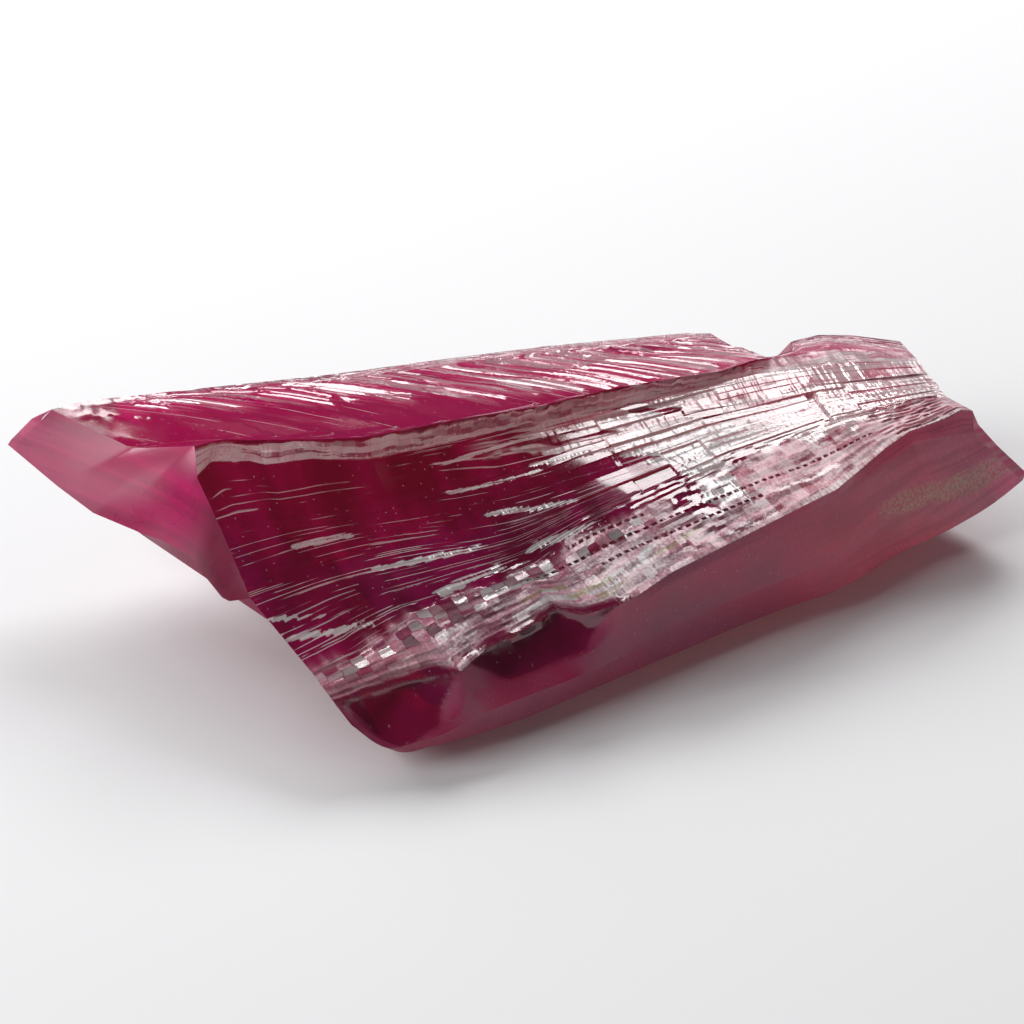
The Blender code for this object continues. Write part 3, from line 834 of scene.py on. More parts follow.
@dataclass
class Ends:
    """The smooth near end face, the undercut below it and the far break.

    Args:
        near_edge: Outline of the near end by place across, in millimetres.
        notch_place: Where the smooth end face starts.
        bevel: Width of the clear bevel at the far break, in millimetres.
        columns: Columns of the end face, the undercut and the far break.
    """

    near_edge: tuple[tuple[float, Point], ...] = (
        (0.0, (-13.0, -8.2, 3.3)), (1.0, (-13.3, -6.8, 4.1)), (2.0, (-14.1, -2.9, 5.8)),
        (2.3, (-14.5, -1.7, 5.1)), (2.5, (-14.5, -1.0, 4.9)), (2.9, (-14.4, 0.8, 4.9)),
        (3.4, (-14.3, 2.5, 4.9)), (4.0, (-14.8, 4.1, 5.0)), (4.4, (-15.3, 5.0, 5.0)),
        (5.4, (-16.6, 7.1, 5.3)), (6.0, (-17.4, 9.0, 5.9)), (6.6, (-18.4, 11.9, 6.8)),
        (6.85, (-17.6, 10.8, 8.4)), (7.0, (-17.2, 9.5, 9.4)))
    notch_place: float = 2.0
    bevel: float = 0.42
    columns: tuple[int, int, int] = (30, 20, 18)

    def patches(self, rows: np.ndarray, top: np.ndarray, under: np.ndarray) -> list[Patch]:
        """Closes the crystal between its split face and its skin.

        Args:
            rows: Places across.
            top: Grid of the split face.
            under: Grid of the skin.

        Returns:
            The end face, the undercut, the bevel and the far break.
        """
        places = [p for p, _ in self.near_edge]
        near = np.stack([np.interp(rows, places, [q[k] for _, q in self.near_edge]) for k in range(3)], -1)
        low = rows <= self.notch_place
        near[low], near[-1] = top[low, 0], top[-1, 0]
        first = int(np.nonzero(low)[0][-1])
        face = strip(near[first:], top[first:, 0], self.columns[0], 0.02, (-0.88, -0.32, 0.35))
        undercut = strip(near, under[:, 0], self.columns[1], 0.16, (0.6, 0.6, 0.2), 0.5)
        ease = (np.clip(rows / 0.33, 0, 1) * np.clip((BACK_RIM - rows) / 0.4, 0, 1))[:, None]
        outer = under[:, -1] + np.array([0.75, 0.35, 0.55]) * self.bevel * ease
        sliver = strip(under[:, -1], outer, 3)
        far = strip(outer, top[:, -1], self.columns[2], -0.05, (0.9, 0.1, 0.0))
        smooth = self._patch(face, {Mask.GROWTH: 1.0, Mask.THIN: 0.9})
        tip = fade(face[..., 1], 4.0, 12.0)
        # Painted glow: the end face is painted brighter towards its back and top, as light coming through.
        smooth.masks[Mask.THIN] = 0.10 + 0.90 * fade(face[..., 1] + 0.5 * (face[..., 2] - 6.0), 0.5, 3.5)
        smooth.masks[Mask.FROST], smooth.masks[Mask.PALE] = 0.05 + 0.45 * tip, 0.45 * tip
        return [
            smooth,
            # The undercut, the bevel sliver and the far break get a painted glow too.
            self._patch(undercut, {Mask.FROST: 0.6, Mask.THIN: 0.3}),
            self._patch(sliver, {Mask.PALE: 1.0, Mask.FROST: 0.8, Mask.THIN: 1.0}),
            self._patch(far, {Mask.THIN: 0.8, Mask.LINES: 0.4, Mask.PALE: 0.3}),
        ]

    @staticmethod
    def _patch(points: np.ndarray, shares: dict[Mask, float]) -> Patch:
        """A patch with even zones, its grain in millimetres from the near end."""
        return Patch(points, points[..., 1].copy(), points[..., 2].copy(),
                     {m: np.full(points.shape[:2], s) for m, s in shares.items()})


class Nodes:
    """Short ways to add and join nodes in one tree."""

    def __init__(self, tree: bpy.types.NodeTree) -> None:
        """Keeps the tree that the nodes go into."""
        self.tree = tree

    def add(self, kind: str, **values: object) -> bpy.types.Node:
        """Adds a node.

        Args:
            kind: Its type without the ShaderNode prefix.
            **values: Settings of the node itself.

        Returns:
            The new node.
        """
        node = self.tree.nodes.new(kind if kind.startswith("Node") else "ShaderNode" + kind)
        for name, value in values.items():
            setattr(node, name, value)
        return node

    def feed(self, socket: Socket, value: object) -> None:
        """Links a socket to another, or sets its number or colour.

        Args:
            socket: Input of a node.
            value: Another socket, a number, a colour or a vector.
        """
        if isinstance(value, Socket):
            self.tree.links.new(value, socket)
        else:
            socket.default_value = value

    def math(self, operation: str, a: object, b: object = 0.0, clamp: bool = False) -> Socket:
        """Adds a Math node.

        Args:
            operation: What the node works out.
            a: First value.
            b: Second value.
            clamp: True to keep the result from 0 to 1.

        Returns:
            Its result.
        """
        node = self.add("Math", operation=operation, use_clamp=clamp)
        self.feed(node.inputs[0], a)
        self.feed(node.inputs[1], b)
        return node.outputs[0]

    def times(self, a: object, b: object, clamp: bool = False) -> Socket:
        """Product of two values."""
        return self.math("MULTIPLY", a, b, clamp)

    def plus(self, a: object, b: object, clamp: bool = False) -> Socket:
        """Sum of two values."""
        return self.math("ADD", a, b, clamp)

    def less(self, a: object, b: object) -> Socket:
        """First value less the second."""
        return self.math("SUBTRACT", a, b)

    def off_middle(self, value: object) -> Socket:
        """How far a value from 0 to 1 lies from its middle."""
        return self.math("ABSOLUTE", self.less(value, 0.5))

    def blend(self, share: object, a: object, b: object) -> Socket:
        """Adds a colour mix from a to b.

        Args:
            share: How much of b.
            a: First colour.
            b: Second colour.

        Returns:
            The mixed colour.
        """
        node = self.add("Mix", data_type="RGBA")
        self.feed(node.inputs["Factor"], share)
        self.feed(node.inputs[6], a)
        self.feed(node.inputs[7], b)
        return node.outputs[2]

    def blend_vector(self, share: object, a: object, b: object) -> Socket:
        """Adds a vector mix from a to b.

        Args:
            share: How much of b.
            a: First vector.
            b: Second vector.

        Returns:
            The mixed vector.
        """
        node = self.add("Mix", data_type="VECTOR")
        for socket, value in zip((node.inputs["Factor"], node.inputs[4], node.inputs[5]), (share, a, b)):
            self.feed(socket, value)
        return node.outputs[1]

    def ramp(self, value: object, low: float, high: float, to_low: float = 0.0,
             to_high: float = 1.0) -> Socket:
        """Maps a value from low..high to to_low..to_high, clamped and smooth.

        Args:
            value: The value.
            low: Where it starts.
            high: Where it ends.
            to_low: What it gives at low.
            to_high: What it gives at high.

        Returns:
            The mapped value.
        """
        node = self.add("MapRange", interpolation_type="SMOOTHSTEP")
        for socket, number in zip(node.inputs[:5], (value, low, high, to_low, to_high)):
            self.feed(socket, number)
        return node.outputs[0]

    def vector(self, x: object, y: object, z: object = 0.0) -> Socket:
        """Joins three numbers into a vector.

        Args:
            x: First number.
            y: Second number.
            z: Third number.

        Returns:
            The vector.
        """
        node = self.add("CombineXYZ")
        for socket, value in zip(node.inputs, (x, y, z)):
            self.feed(socket, value)
        return node.outputs[0]

    def split(self, vector: Socket) -> tuple[Socket, Socket]:
        """First two numbers of a vector."""
        node = self.add("SeparateXYZ")
        self.feed(node.inputs[0], vector)
        return node.outputs[0], node.outputs[1]

    def tone(self, colour: Socket) -> Socket:
        """First number of a colour."""
        node = self.add("SeparateColor")
        self.feed(node.inputs[0], colour)
        return node.outputs[0]

    def noise(self, place: Socket, detail: float, scale: object = 1.0, kind: str = "3D") -> Socket:
        """Adds a noise texture.

        Args:
            place: Coordinates.
            detail: Number of finer layers.
            scale: How fine the noise is.
            kind: Its dimensions, 2D or 3D.

        Returns:
            A value about 0.5.
        """
        node = self.add("TexNoise", noise_dimensions=kind)
        self.feed(node.inputs["Vector"], place)
        self.feed(node.inputs["Scale"], scale)
        self.feed(node.inputs["Detail"], detail)
        return node.outputs[0]

    def flat_noise(self, x: object, y: object, detail: float) -> Socket:
        """Noise over a plane."""
        return self.noise(self.vector(x, y), detail, kind="2D")

    def stretched(self, place: Socket, scale: Point, turn: Point = (0.0, 0.0, 0.0)) -> Socket:
        """Stretches and turns coordinates.

        Args:
            place: Coordinates.
            scale: Stretch for each axis.
            turn: Turn about each axis, in radians.

        Returns:
            The new coordinates.
        """
        node = self.add("Mapping")
        self.feed(node.inputs["Vector"], place)
        self.feed(node.inputs["Rotation"], turn)
        self.feed(node.inputs["Scale"], scale)
        return node.outputs[0]

    def scaled(self, vector: Socket, factor: object) -> Socket:
        """Makes a vector or a colour larger or smaller.

        Args:
            vector: The vector or colour.
            factor: How many times.

        Returns:
            The scaled vector or colour.
        """
        node = self.add("VectorMath", operation="SCALE")
        self.feed(node.inputs[0], vector)
        self.feed(node.inputs["Scale"], factor)
        return node.outputs[0]

    def vectors(self, operation: str, a: object, b: object) -> Socket:
        """Adds a Vector Math node.

        Args:
            operation: What the node works out.
            a: First vector.
            b: Second vector.

        Returns:
            Its vector.
        """
        node = self.add("VectorMath", operation=operation)
        self.feed(node.inputs[0], a)
        self.feed(node.inputs[1], b)
        return node.outputs[0]

    def leaned(self, normal: Socket, push: Socket) -> Socket:
        """A normal pushed aside and made one long again."""
        unit = self.add("VectorMath", operation="NORMALIZE")
        self.feed(unit.inputs[0], self.vectors("ADD", normal, push))
        return unit.outputs[0]

    def attribute(self, mask: Mask) -> Socket:
        """A zone of the surface as a number."""
        return self.add("Attribute", attribute_name=mask.value).outputs["Fac"]

    def group(self, tree: bpy.types.NodeTree, **values: object) -> bpy.types.Node:
        """Adds a node group and feeds its inputs.

        Args:
            tree: The group.
            **values: Number, colour or socket for each input.

        Returns:
            The node.
        """
        node = self.add("Group")
        node.node_tree = tree
        for name, value in values.items():
            self.feed(node.inputs[name], value)
        return node


def new_group(name: str, inputs: dict[str, tuple[str, object]],
              outputs: dict[str, str]) -> tuple[bpy.types.NodeTree, Nodes, bpy.types.Node, bpy.types.Node]:
    """Starts a shader node group.

    Args:
        name: Name of the group.
        inputs: Name to (kind of socket, default value).
        outputs: Name to kind of socket.

    Returns:
        The group, its node maker, its input node and its output node.
    """
    tree = bpy.data.node_groups.new(name, "ShaderNodeTree")
    for title, (kind, value) in inputs.items():
        socket = tree.interface.new_socket(title, in_out="INPUT", socket_type="NodeSocket" + kind)
        if value is not None:
            socket.default_value = value
    for title, kind in outputs.items():
        tree.interface.new_socket(title, in_out="OUTPUT", socket_type="NodeSocket" + kind)
    make = Nodes(tree)
    return tree, make, make.add("NodeGroupInput"), make.add("NodeGroupOutput")


def fracture_group() -> bpy.types.NodeTree:
    """Fine broken lines that run along the grain, as on a stepped break.

    Returns:
        A group from Grain (mm along, mm across), Drift (mm that the lines wander), Spacing (mm), Width
        (half a line, as a share of the spacing), Seed and Amount to Mask.
    """
    tree, make, start, end = new_group(
        "fracture lines",
        {"Grain": ("Vector", None), "Drift": ("Float", 0.0), "Spacing": ("Float", 0.5),
         "Width": ("Float", 0.08), "Seed": ("Float", 0.0), "Amount": ("Float", 0.5)},
        {"Mask": "Float"})
    along, across = make.split(start.outputs["Grain"])
    wave = make.math("DIVIDE", make.plus(across, start.outputs["Drift"]), start.outputs["Spacing"])
    near = make.off_middle(make.math("FRACT", wave))
    step = make.plus(make.times(make.math("FLOOR", wave), 7.31), start.outputs["Seed"])
    dash = make.flat_noise(make.times(along, 0.34), step, 1.5)
    limit = make.less(0.72, make.times(start.outputs["Amount"], 0.33))
    shown = make.ramp(dash, limit, make.plus(limit, 0.12))
    width = make.times(start.outputs["Width"], make.plus(0.35, shown))
    line = make.times(make.ramp(near, width, make.times(width, 0.5)), shown, clamp=True)
    make.feed(end.inputs["Mask"], line)
    return tree


def frost_group() -> bpy.types.NodeTree:
    """Fine grain of a ground or etched surface.

    Returns:
        A group from Place (object coordinates), Flat (mm along, mm across) and Size (metres) to Grain,
        Specks and Cloud.
    """
    tree, make, start, end = new_group(
        "frost",
        {"Place": ("Vector", None), "Flat": ("Vector", None), "Size": ("Float", 0.00012)},
        {"Grain": "Float", "Specks": "Float", "Cloud": "Float"})
    scale = make.math("DIVIDE", 1.0, start.outputs["Size"])
    specks = make.add("TexVoronoi", voronoi_dimensions="2D")
    make.feed(specks.inputs["Vector"], start.outputs["Flat"])
    specks.inputs["Scale"].default_value = 2.7
    make.feed(end.inputs["Grain"], make.noise(start.outputs["Place"], 1.0, scale))
    dots = make.ramp(specks.outputs["Distance"], 0.10, 0.04)
    picked = make.ramp(make.tone(specks.outputs["Color"]), 0.65, 0.95)
    make.feed(end.inputs["Specks"], make.times(dots, picked))
    make.feed(end.inputs["Cloud"], make.noise(start.outputs["Place"], 2.0, make.times(scale, 0.05)))
    return tree


def facet_group() -> bpy.types.NodeTree:
    """Small flat cells, each with its own tone and lean, drawn out along the grain.

    Returns:
        A group from Grain (mm along, mm across), Drift (mm), Length and Width (mm), Lean (how far the
        normals lean) and Chaos (0 for an even grid of cells) to Tone, Gap and Normal.
    """
    tree, make, start, end = new_group(
        "facets",
        {"Grain": ("Vector", None), "Drift": ("Float", 0.0), "Length": ("Float", 0.8),
         "Width": ("Float", 0.3), "Lean": ("Float", 0.2), "Chaos": ("Float", 0.5)},
        {"Tone": "Float", "Gap": "Float", "Normal": "Vector"})
    along, across = make.split(start.outputs["Grain"])
    across = make.plus(across, start.outputs["Drift"])
    place = make.vector(make.math("DIVIDE", along, start.outputs["Length"]),
                        make.math("DIVIDE", across, start.outputs["Width"]))
    cells = make.add("TexVoronoi", voronoi_dimensions="2D", distance="CHEBYCHEV")
    gap = make.add("TexVoronoi", voronoi_dimensions="2D", feature="DISTANCE_TO_EDGE")
    for node in (cells, gap):
        make.feed(node.inputs["Vector"], place)
        node.inputs["Scale"].default_value = 1.0
        make.feed(node.inputs["Randomness"], start.outputs["Chaos"])
    centred = make.vectors("SUBTRACT", cells.outputs["Color"], (0.5, 0.5, 0.5))
    surface = make.add("NewGeometry")
    normal = make.leaned(surface.outputs["Normal"], make.scaled(centred, start.outputs["Lean"]))
    make.feed(end.inputs["Tone"], make.tone(cells.outputs["Color"]))
    make.feed(end.inputs["Gap"], make.ramp(gap.outputs["Distance"], 0.07, 0.01))
    make.feed(end.inputs["Normal"], normal)
    return tree


@dataclass(frozen=True)
class Effects:
    """Patterns that the colour, the roughness and the normal of the stone share.

    Args:
        lines: Fracture lines.
        raised: The coarse ones, which have a lip.
        facet: Normal of the long cells of the plates.
        tile: Normal of the small tiles.
        tile_tone: A number for each tile.
        tile_gap: The gaps between the tiles.
        pits: The rows of pits.
        grain: Grain of the frost.
        specks: Specks of dust.
        cloud: Slow changes of the frost.
        tint: Slow changes of the red, and the growth bands.
        streak: Long streaks along the grain.
        ticks: Fine ticks across the grain.
    """

    lines: Socket
    raised: Socket
    facet: Socket
    tile: Socket
    tile_tone: Socket
    tile_gap: Socket
    pits: Socket
    grain: Socket
    specks: Socket
    cloud: Socket
    tint: Socket
    streak: Socket
    ticks: Socket


@dataclass(frozen=True)
class BreakMarks:
    """Fine marks of the break and of the frosted skin.

    Args:
        sweep_bend: How far the grain behind the crest bends, as a share of the distance squared.
        drift: Millimetres that the grain wanders across.
        line_spacing: Millimetres between coarse fracture lines.
        fine_spacing: Millimetres between fine ones.
        line_half: Half the width of a coarse line, as a share of the spacing.
        fine_half: The same of a fine line.
        wisp_half: What crushed stone adds to a fine line.
        sweep_half: The same of a line that sweeps down from the back rim.
        plate_cell: Length and width of a cell of the plates, in millimetres.
        plate_lean: How far the cells of the plates lean.
        tile_cell: Length, width and chaos of the tiles.
        swept_cell: The same in the valley.
        pit_spacing: Millimetres from one pit to the next.
        pit_rows: Rows of pits for each millimetre across and along, and the share of a row before the first.
        red_bands: Stretch of the slow changes of the red.
        growth_bands: Stretch and turn of the growth bands.
    """

    sweep_bend: float = 0.085
    drift: float = 0.8
    line_spacing: float = 0.62
    fine_spacing: float = 0.19
    line_half: float = 0.034
    fine_half: float = 0.075
    wisp_half: float = 0.20
    sweep_half: float = 0.030
    plate_cell: tuple[float, float] = (2.1, 0.28)
    plate_lean: float = 0.30
    tile_cell: Point = (0.58, 0.34, 0.35)
    swept_cell: Point = (1.9, 0.24, 1.0)
    pit_spacing: float = 0.37
    pit_rows: Point = (2.105, 0.105, 0.12)
    red_bands: Point = (620.0, 170.0, 90.0)
    growth_bands: tuple[Point, Point] = ((60.0, 60.0, 1500.0), (0.16, -0.06, 0.0))

    def effects(self, make: Nodes, zone: Zones) -> Effects:
        """Adds the nodes of all the patterns.

        Args:
            make: Adds nodes to the material.
            zone: The zones of the surface.

        Returns:
            The patterns.
        """
        grain = make.scaled(make.add("UVMap", uv_map="grain").outputs[0], 1000.0 * UV_METRES)
        along, across = make.split(grain)
        back = make.less(across, CREST_MM)
        curve = make.times(make.times(back, back), self.sweep_bend)
        swept = make.vector(across, make.plus(along, curve))
        wave = make.flat_noise(make.times(along, 0.09), make.times(across, 0.35), 1.5)
        drift = make.times(wave, self.drift)
        lines, raised = self._lines(make, zone, grain, swept, drift)
        facets, tiles = self._cells(make, zone, grain, swept, drift)
        ticks = make.flat_noise(make.times(along, 7.5), make.times(across, 0.9), 1.0)
        pits = self._pits(make, zone, along, across, drift)
        place = make.add("TexCoord").outputs["Object"]
        frost = make.group(frost_group(), Place=place, Flat=grain)
        bands = make.blend_vector(zone[Mask.GROWTH], make.stretched(place, self.red_bands),
                                  make.stretched(place, *self.growth_bands))
        return Effects(
            lines=lines, raised=raised, facet=facets.outputs["Normal"],
            tile=tiles.outputs["Normal"], tile_tone=tiles.outputs["Tone"],
            tile_gap=tiles.outputs["Gap"], pits=make.times(pits, make.ramp(ticks, 0.38, 0.50, 0.25, 1.0)),
            grain=frost.outputs["Grain"], specks=frost.outputs["Specks"],
            cloud=frost.outputs["Cloud"], tint=make.noise(bands, 2.0), ticks=ticks,
            streak=make.flat_noise(make.times(along, 0.22), make.times(make.plus(across, drift), 3.2), 2.0))

    def _lines(self, make: Nodes, zone: Zones, grain: Socket, swept: Socket,
               drift: Socket) -> tuple[Socket, Socket]:
        """All the fracture lines, and the coarse ones of the main face.

        Args:
            make: Adds nodes to the material.
            zone: The zones of the surface.
            grain: Millimetres along and across, as a vector.
            swept: The same, turned to the sweep of the valley.
            drift: Millimetres that the grain wanders across.

        Returns:
            All the lines, and the coarse ones.
        """
        fracture = fracture_group()
        coarse = make.group(fracture, Grain=grain, Drift=drift, Spacing=self.line_spacing,
                            Width=self.line_half, Seed=1.0, Amount=zone[Mask.LINES])
        width = make.plus(self.fine_half, make.times(zone[Mask.WISP], self.wisp_half))
        amount = make.plus(make.times(zone[Mask.LINES], 0.80), make.times(zone[Mask.WISP], 1.1))
        fine = make.group(fracture, Grain=grain, Drift=drift, Spacing=self.fine_spacing,
                          Width=width, Seed=55.0, Amount=amount)
        sweep = make.group(fracture, Grain=swept, Drift=drift, Spacing=self.line_spacing,
                           Width=self.sweep_half, Seed=90.0, Amount=make.times(zone[Mask.SWEEP], 0.6))
        here = make.ramp(zone[Mask.LINES], 0.02, 0.25)
        both = make.math("MAXIMUM", coarse.outputs["Mask"], make.times(fine.outputs["Mask"], 0.75))
        swept_lines = make.times(sweep.outputs["Mask"], zone[Mask.SWEEP])
        lines = make.math("MAXIMUM", make.times(both, here), swept_lines)
        return lines, make.times(coarse.outputs["Mask"], here)

    def _cells(self, make: Nodes, zone: Zones, grain: Socket, swept: Socket,
               drift: Socket) -> tuple[bpy.types.Node, bpy.types.Node]:
        """Long cells of the plates, and tiles that follow the sweep in the valley.

        Args:
            make: Adds nodes to the material.
            zone: The zones of the surface.
            grain: Millimetres along and across, as a vector.
            swept: The same, turned to the sweep of the valley.
            drift: Millimetres that the grain wanders across.

        Returns:
            The node of the cells and the node of the tiles.
        """
        facet = facet_group()
        length, width = self.plate_cell
        facets = make.group(facet, Grain=grain, Drift=drift, Length=length, Width=width,
                            Lean=self.plate_lean, Chaos=0.95)
        length, width, chaos = [make.ramp(zone[Mask.SWEEP], 0.0, 1.0, level, steep)
                                for level, steep in zip(self.tile_cell, self.swept_cell)]
        tiles = make.group(facet, Grain=make.blend_vector(zone[Mask.SWEEP], grain, swept), Drift=drift,
                           Length=length, Width=width, Lean=1.0, Chaos=chaos)
        return facets, tiles

    def _pits(self, make: Nodes, zone: Zones, along: Socket, across: Socket, drift: Socket) -> Socket:
        """Pits at even distances along their rows.

        Args:
            make: Adds nodes to the material.
            zone: The zones of the surface.
            along: Millimetres along the crystal.
            across: Millimetres across it.
            drift: Millimetres that the grain wanders across.

        Returns:
            A number from 0 to 1.
        """
        dots = make.math("DIVIDE", make.plus(along, make.times(drift, 2.2)), self.pit_spacing)
        by_across, by_along, start = self.pit_rows
        row = make.plus(make.times(across, by_across), make.times(along, by_along))
        row = make.plus(make.plus(row, start), make.times(drift, 0.3))
        dots = make.ramp(make.off_middle(make.math("FRACT", dots)), 0.36, 0.28)
        row = make.ramp(make.off_middle(make.math("FRACT", row)), 0.135, 0.075)
        return make.times(make.times(dots, row), make.ramp(zone[Mask.PITS], 0.2, 0.6))


@dataclass(frozen=True)
class RubyFinish:
    """Clear red corundum whose colour, frost and gloss follow the zones of the surface.

    Args:
        deep: Colour of the clear red where the piece is thick; also painted into the pits as their shade.
        bright: Brighter red painted where light comes through, a painted glow.
        violet: Colour of the faint columns that cross the grain, and of the dark tiles.
        skin: Colour of the ground skin.
        lavender: Colour of the frosted break.
        line: Pale pink painted on the fracture lines as the glint of light on their steps; also the colour of
            dust specks and of the palest tiles.
        plate: Silver-white: painted sheen on the level plates and the ridge, and the white of crushed stone
            and bruised edges.
        stain: Colour of the rock dust.
        olive: Colour of the film in the frosted band.
        clearness: Share of light that goes into the stone.
        ior: Refractive index of corundum.
        body: Colour that the stone lets through.
        density: How fast it takes the rest, per metre.
        clear_roughness: Roughness of a clean break.
        frost_roughness: Roughness of the skin.
        marks: The fine marks that colour, roughness and normal follow.
    """

    deep: Colour = (0.20, 0.001, 0.040, 1.0)
    bright: Colour = (0.84, 0.012, 0.22, 1.0)
    violet: Colour = (0.50, 0.004, 0.13, 1.0)
    skin: Colour = (0.50, 0.010, 0.13, 1.0)
    lavender: Colour = (0.78, 0.33, 0.43, 1.0)
    line: Colour = (0.93, 0.80, 0.83, 1.0)
    plate: Colour = (0.86, 0.88, 0.87, 1.0)
    stain: Colour = (0.50, 0.44, 0.27, 1.0)
    olive: Colour = (0.50, 0.38, 0.12, 1.0)
    clearness: float = 0.60
    ior: float = 1.77
    body: Colour = (0.95, 0.05, 0.56, 1.0)
    density: float = 700.0
    clear_roughness: float = 0.07
    frost_roughness: float = 0.46
    marks: BreakMarks = BreakMarks()

    def material(self) -> bpy.types.Material:
        """Builds the material.

        Returns:
            One material for the whole closed piece, so that the body colour stays even inside.
        """
        mat = bpy.data.materials.new("ruby")
        mat.use_nodes = True
        make = Nodes(mat.node_tree)
        shader = mat.node_tree.nodes["Principled BSDF"]
        out = mat.node_tree.nodes["Material Output"]
        zone = {m: make.attribute(m) for m in Mask}
        effect = self.marks.effects(make, zone)
        make.feed(shader.inputs["Base Color"], self._colour(make, zone, effect))
        make.feed(shader.inputs["Roughness"], self._roughness(make, zone, effect))
        make.feed(shader.inputs["Normal"], self._normal(make, zone, effect))
        shader.inputs["Transmission Weight"].default_value = self.clearness
        shader.inputs["IOR"].default_value = self.ior
        inside = make.add("VolumeAbsorption")
        inside.inputs["Color"].default_value = self.body
        inside.inputs["Density"].default_value = self.density
        make.feed(out.inputs["Volume"], inside.outputs[0])
        return mat

    def _colour(self, make: Nodes, zone: Zones, effect: Effects) -> Socket:
        """Base colour over all zones.

        Args:
            make: Adds nodes to the material.
            zone: The zones of the surface.
            effect: The patterns.

        Returns:
            The colour.
        """
        # Painted sheen: the level plates get a silver-white colour for the window light they mirror, dulled
        # towards lavender by streaks and ticks.
        ragged = make.plus(zone[Mask.PLATES], make.ramp(effect.streak, 0.3, 0.7, -0.45, 0.45))
        painted_sheen = make.times(make.ramp(ragged, 0.35, 0.65), make.ramp(zone[Mask.PLATES], 0.02, 0.2))
        bare = make.times(zone[Mask.PALE], make.ramp(effect.streak, 0.50, 0.40, 0.0, 0.6))
        cover = make.times(zone[Mask.FROST], make.less(make.ramp(effect.grain, 0.34, 0.60, 0.78, 1.0), bare))
        colour = make.blend(cover, self._clear(make, zone, effect), self._ground(make, zone, effect))
        dull = make.plus(make.ramp(effect.ticks, 0.42, 0.62, 0.0, 0.30),
                         make.ramp(effect.streak, 0.50, 0.38, 0.0, 0.7), clamp=True)
        tone = make.blend(dull, self.plate, self.lavender)
        colour = make.blend(make.times(painted_sheen, 0.92), colour, tone)
        colour = self._crushed(make, zone, effect, colour)
        # Painted glints: the fracture lines are painted pale as the light they catch, and stay deep red where
        # they cross the painted sheen of the plates.
        shine = make.blend(make.ramp(painted_sheen, 0.4, 0.8), self.line, self.deep)
        broken = make.times(effect.lines, make.ramp(effect.tint, 0.35, 0.62, 0.35, 1.0))
        colour = make.blend(broken, colour, shine)
        # Painted shade: the pits are darkened to the deep red, as shadow in their holes.
        colour = make.blend(effect.pits, colour, self.deep)
        colour = make.blend(make.times(zone[Mask.OLIVE], 0.6), colour, self.olive)
        crumbs = make.times(zone[Mask.EDGE], make.ramp(effect.ticks, 0.42, 0.58, 0.10, 0.75))
        colour = make.blend(crumbs, colour, self.plate)
        dirt = make.times(zone[Mask.STAIN], make.ramp(effect.cloud, 0.40, 0.60, 0.35, 1.0))
        dirt = make.times(dirt, make.ramp(effect.grain, 0.46, 0.56, 0.12, 1.0))
        return make.blend(dirt, colour, self.stain)

    def _clear(self, make: Nodes, zone: Zones, effect: Effects) -> Socket:
        """Colour of the clear red, with its columns, growth bands and dust.

        Args:
            make: Adds nodes to the material.
            zone: The zones of the surface.
            effect: The patterns.

        Returns:
            The colour.
        """
        # Painted glow: the red is painted brighter where light comes through the stone.
        clear = make.blend(zone[Mask.THIN], self.deep, self.bright)
        violet = make.times(make.ramp(effect.tint, 0.42, 0.68, 0.0, 0.6),
                            make.ramp(zone[Mask.LINES], 0.05, 0.3))
        clear = make.blend(violet, clear, self.violet)
        banded = make.scaled(clear, make.ramp(effect.tint, 0.32, 0.68, 0.80, 1.12))
        clear = make.blend(zone[Mask.GROWTH], clear, banded)
        dust = make.times(effect.specks, make.less(1.0, zone[Mask.GROWTH]))
        return make.blend(make.times(dust, 0.5), clear, self.line)

    def _ground(self, make: Nodes, zone: Zones, effect: Effects) -> Socket:
        """Colour of the frost, cloudy on the skin and streaky on the break.

        Args:
            make: Adds nodes to the material.
            zone: The zones of the surface.
            effect: The patterns.

        Returns:
            The colour.
        """
        ground = make.blend(zone[Mask.PALE], self.skin, self.lavender)
        cloudy = make.ramp(effect.cloud, 0.3, 0.7, 0.86, 1.10)
        streaky = make.times(make.ramp(effect.streak, 0.40, 0.60, 0.55, 1.25),
                             make.ramp(effect.ticks, 0.35, 0.65, 0.85, 1.15))
        shade = make.plus(cloudy, make.times(zone[Mask.PALE], make.less(streaky, cloudy)))
        return make.blend(make.times(effect.specks, 0.16), make.scaled(ground, shade), self.line)

    def _crushed(self, make: Nodes, zone: Zones, effect: Effects, colour: Socket) -> Socket:
        """Lays pale and dark tiles with their gaps, streaks of crushed stone and the painted sheen of the
        ridge, over a colour.

        Args:
            make: Adds nodes to the material.
            zone: The zones of the surface.
            effect: The patterns.
            colour: The colour below them.

        Returns:
            The new colour.
        """
        white = make.times(zone[Mask.TILES], make.ramp(effect.tile_tone, 0.25, 0.65, 0.05, 1.0))
        cell = make.blend(make.ramp(effect.tile_tone, 0.35, 0.75), self.lavender, self.line)
        colour = make.blend(white, colour, cell)
        # The wisps also carry the ridge, whose white is painted sheen.
        torn = make.plus(make.ramp(effect.streak, 0.30, 0.70, -0.9, 0.7),
                         make.ramp(effect.ticks, 0.25, 0.75, -0.25, 0.25))
        wisp = make.times(make.ramp(make.plus(zone[Mask.WISP], torn), 0.55, 0.80),
                          make.ramp(zone[Mask.WISP], 0.05, 0.3, 0.0, 0.75))
        colour = make.blend(wisp, colour, self.plate)
        dark = make.times(zone[Mask.TILES], make.ramp(effect.tile_tone, 0.42, 0.20, 0.0, 0.7))
        colour = make.blend(dark, colour, self.violet)
        gaps = make.times(make.times(zone[Mask.TILES], 0.7), effect.tile_gap)
        return make.blend(gaps, colour, self.skin)

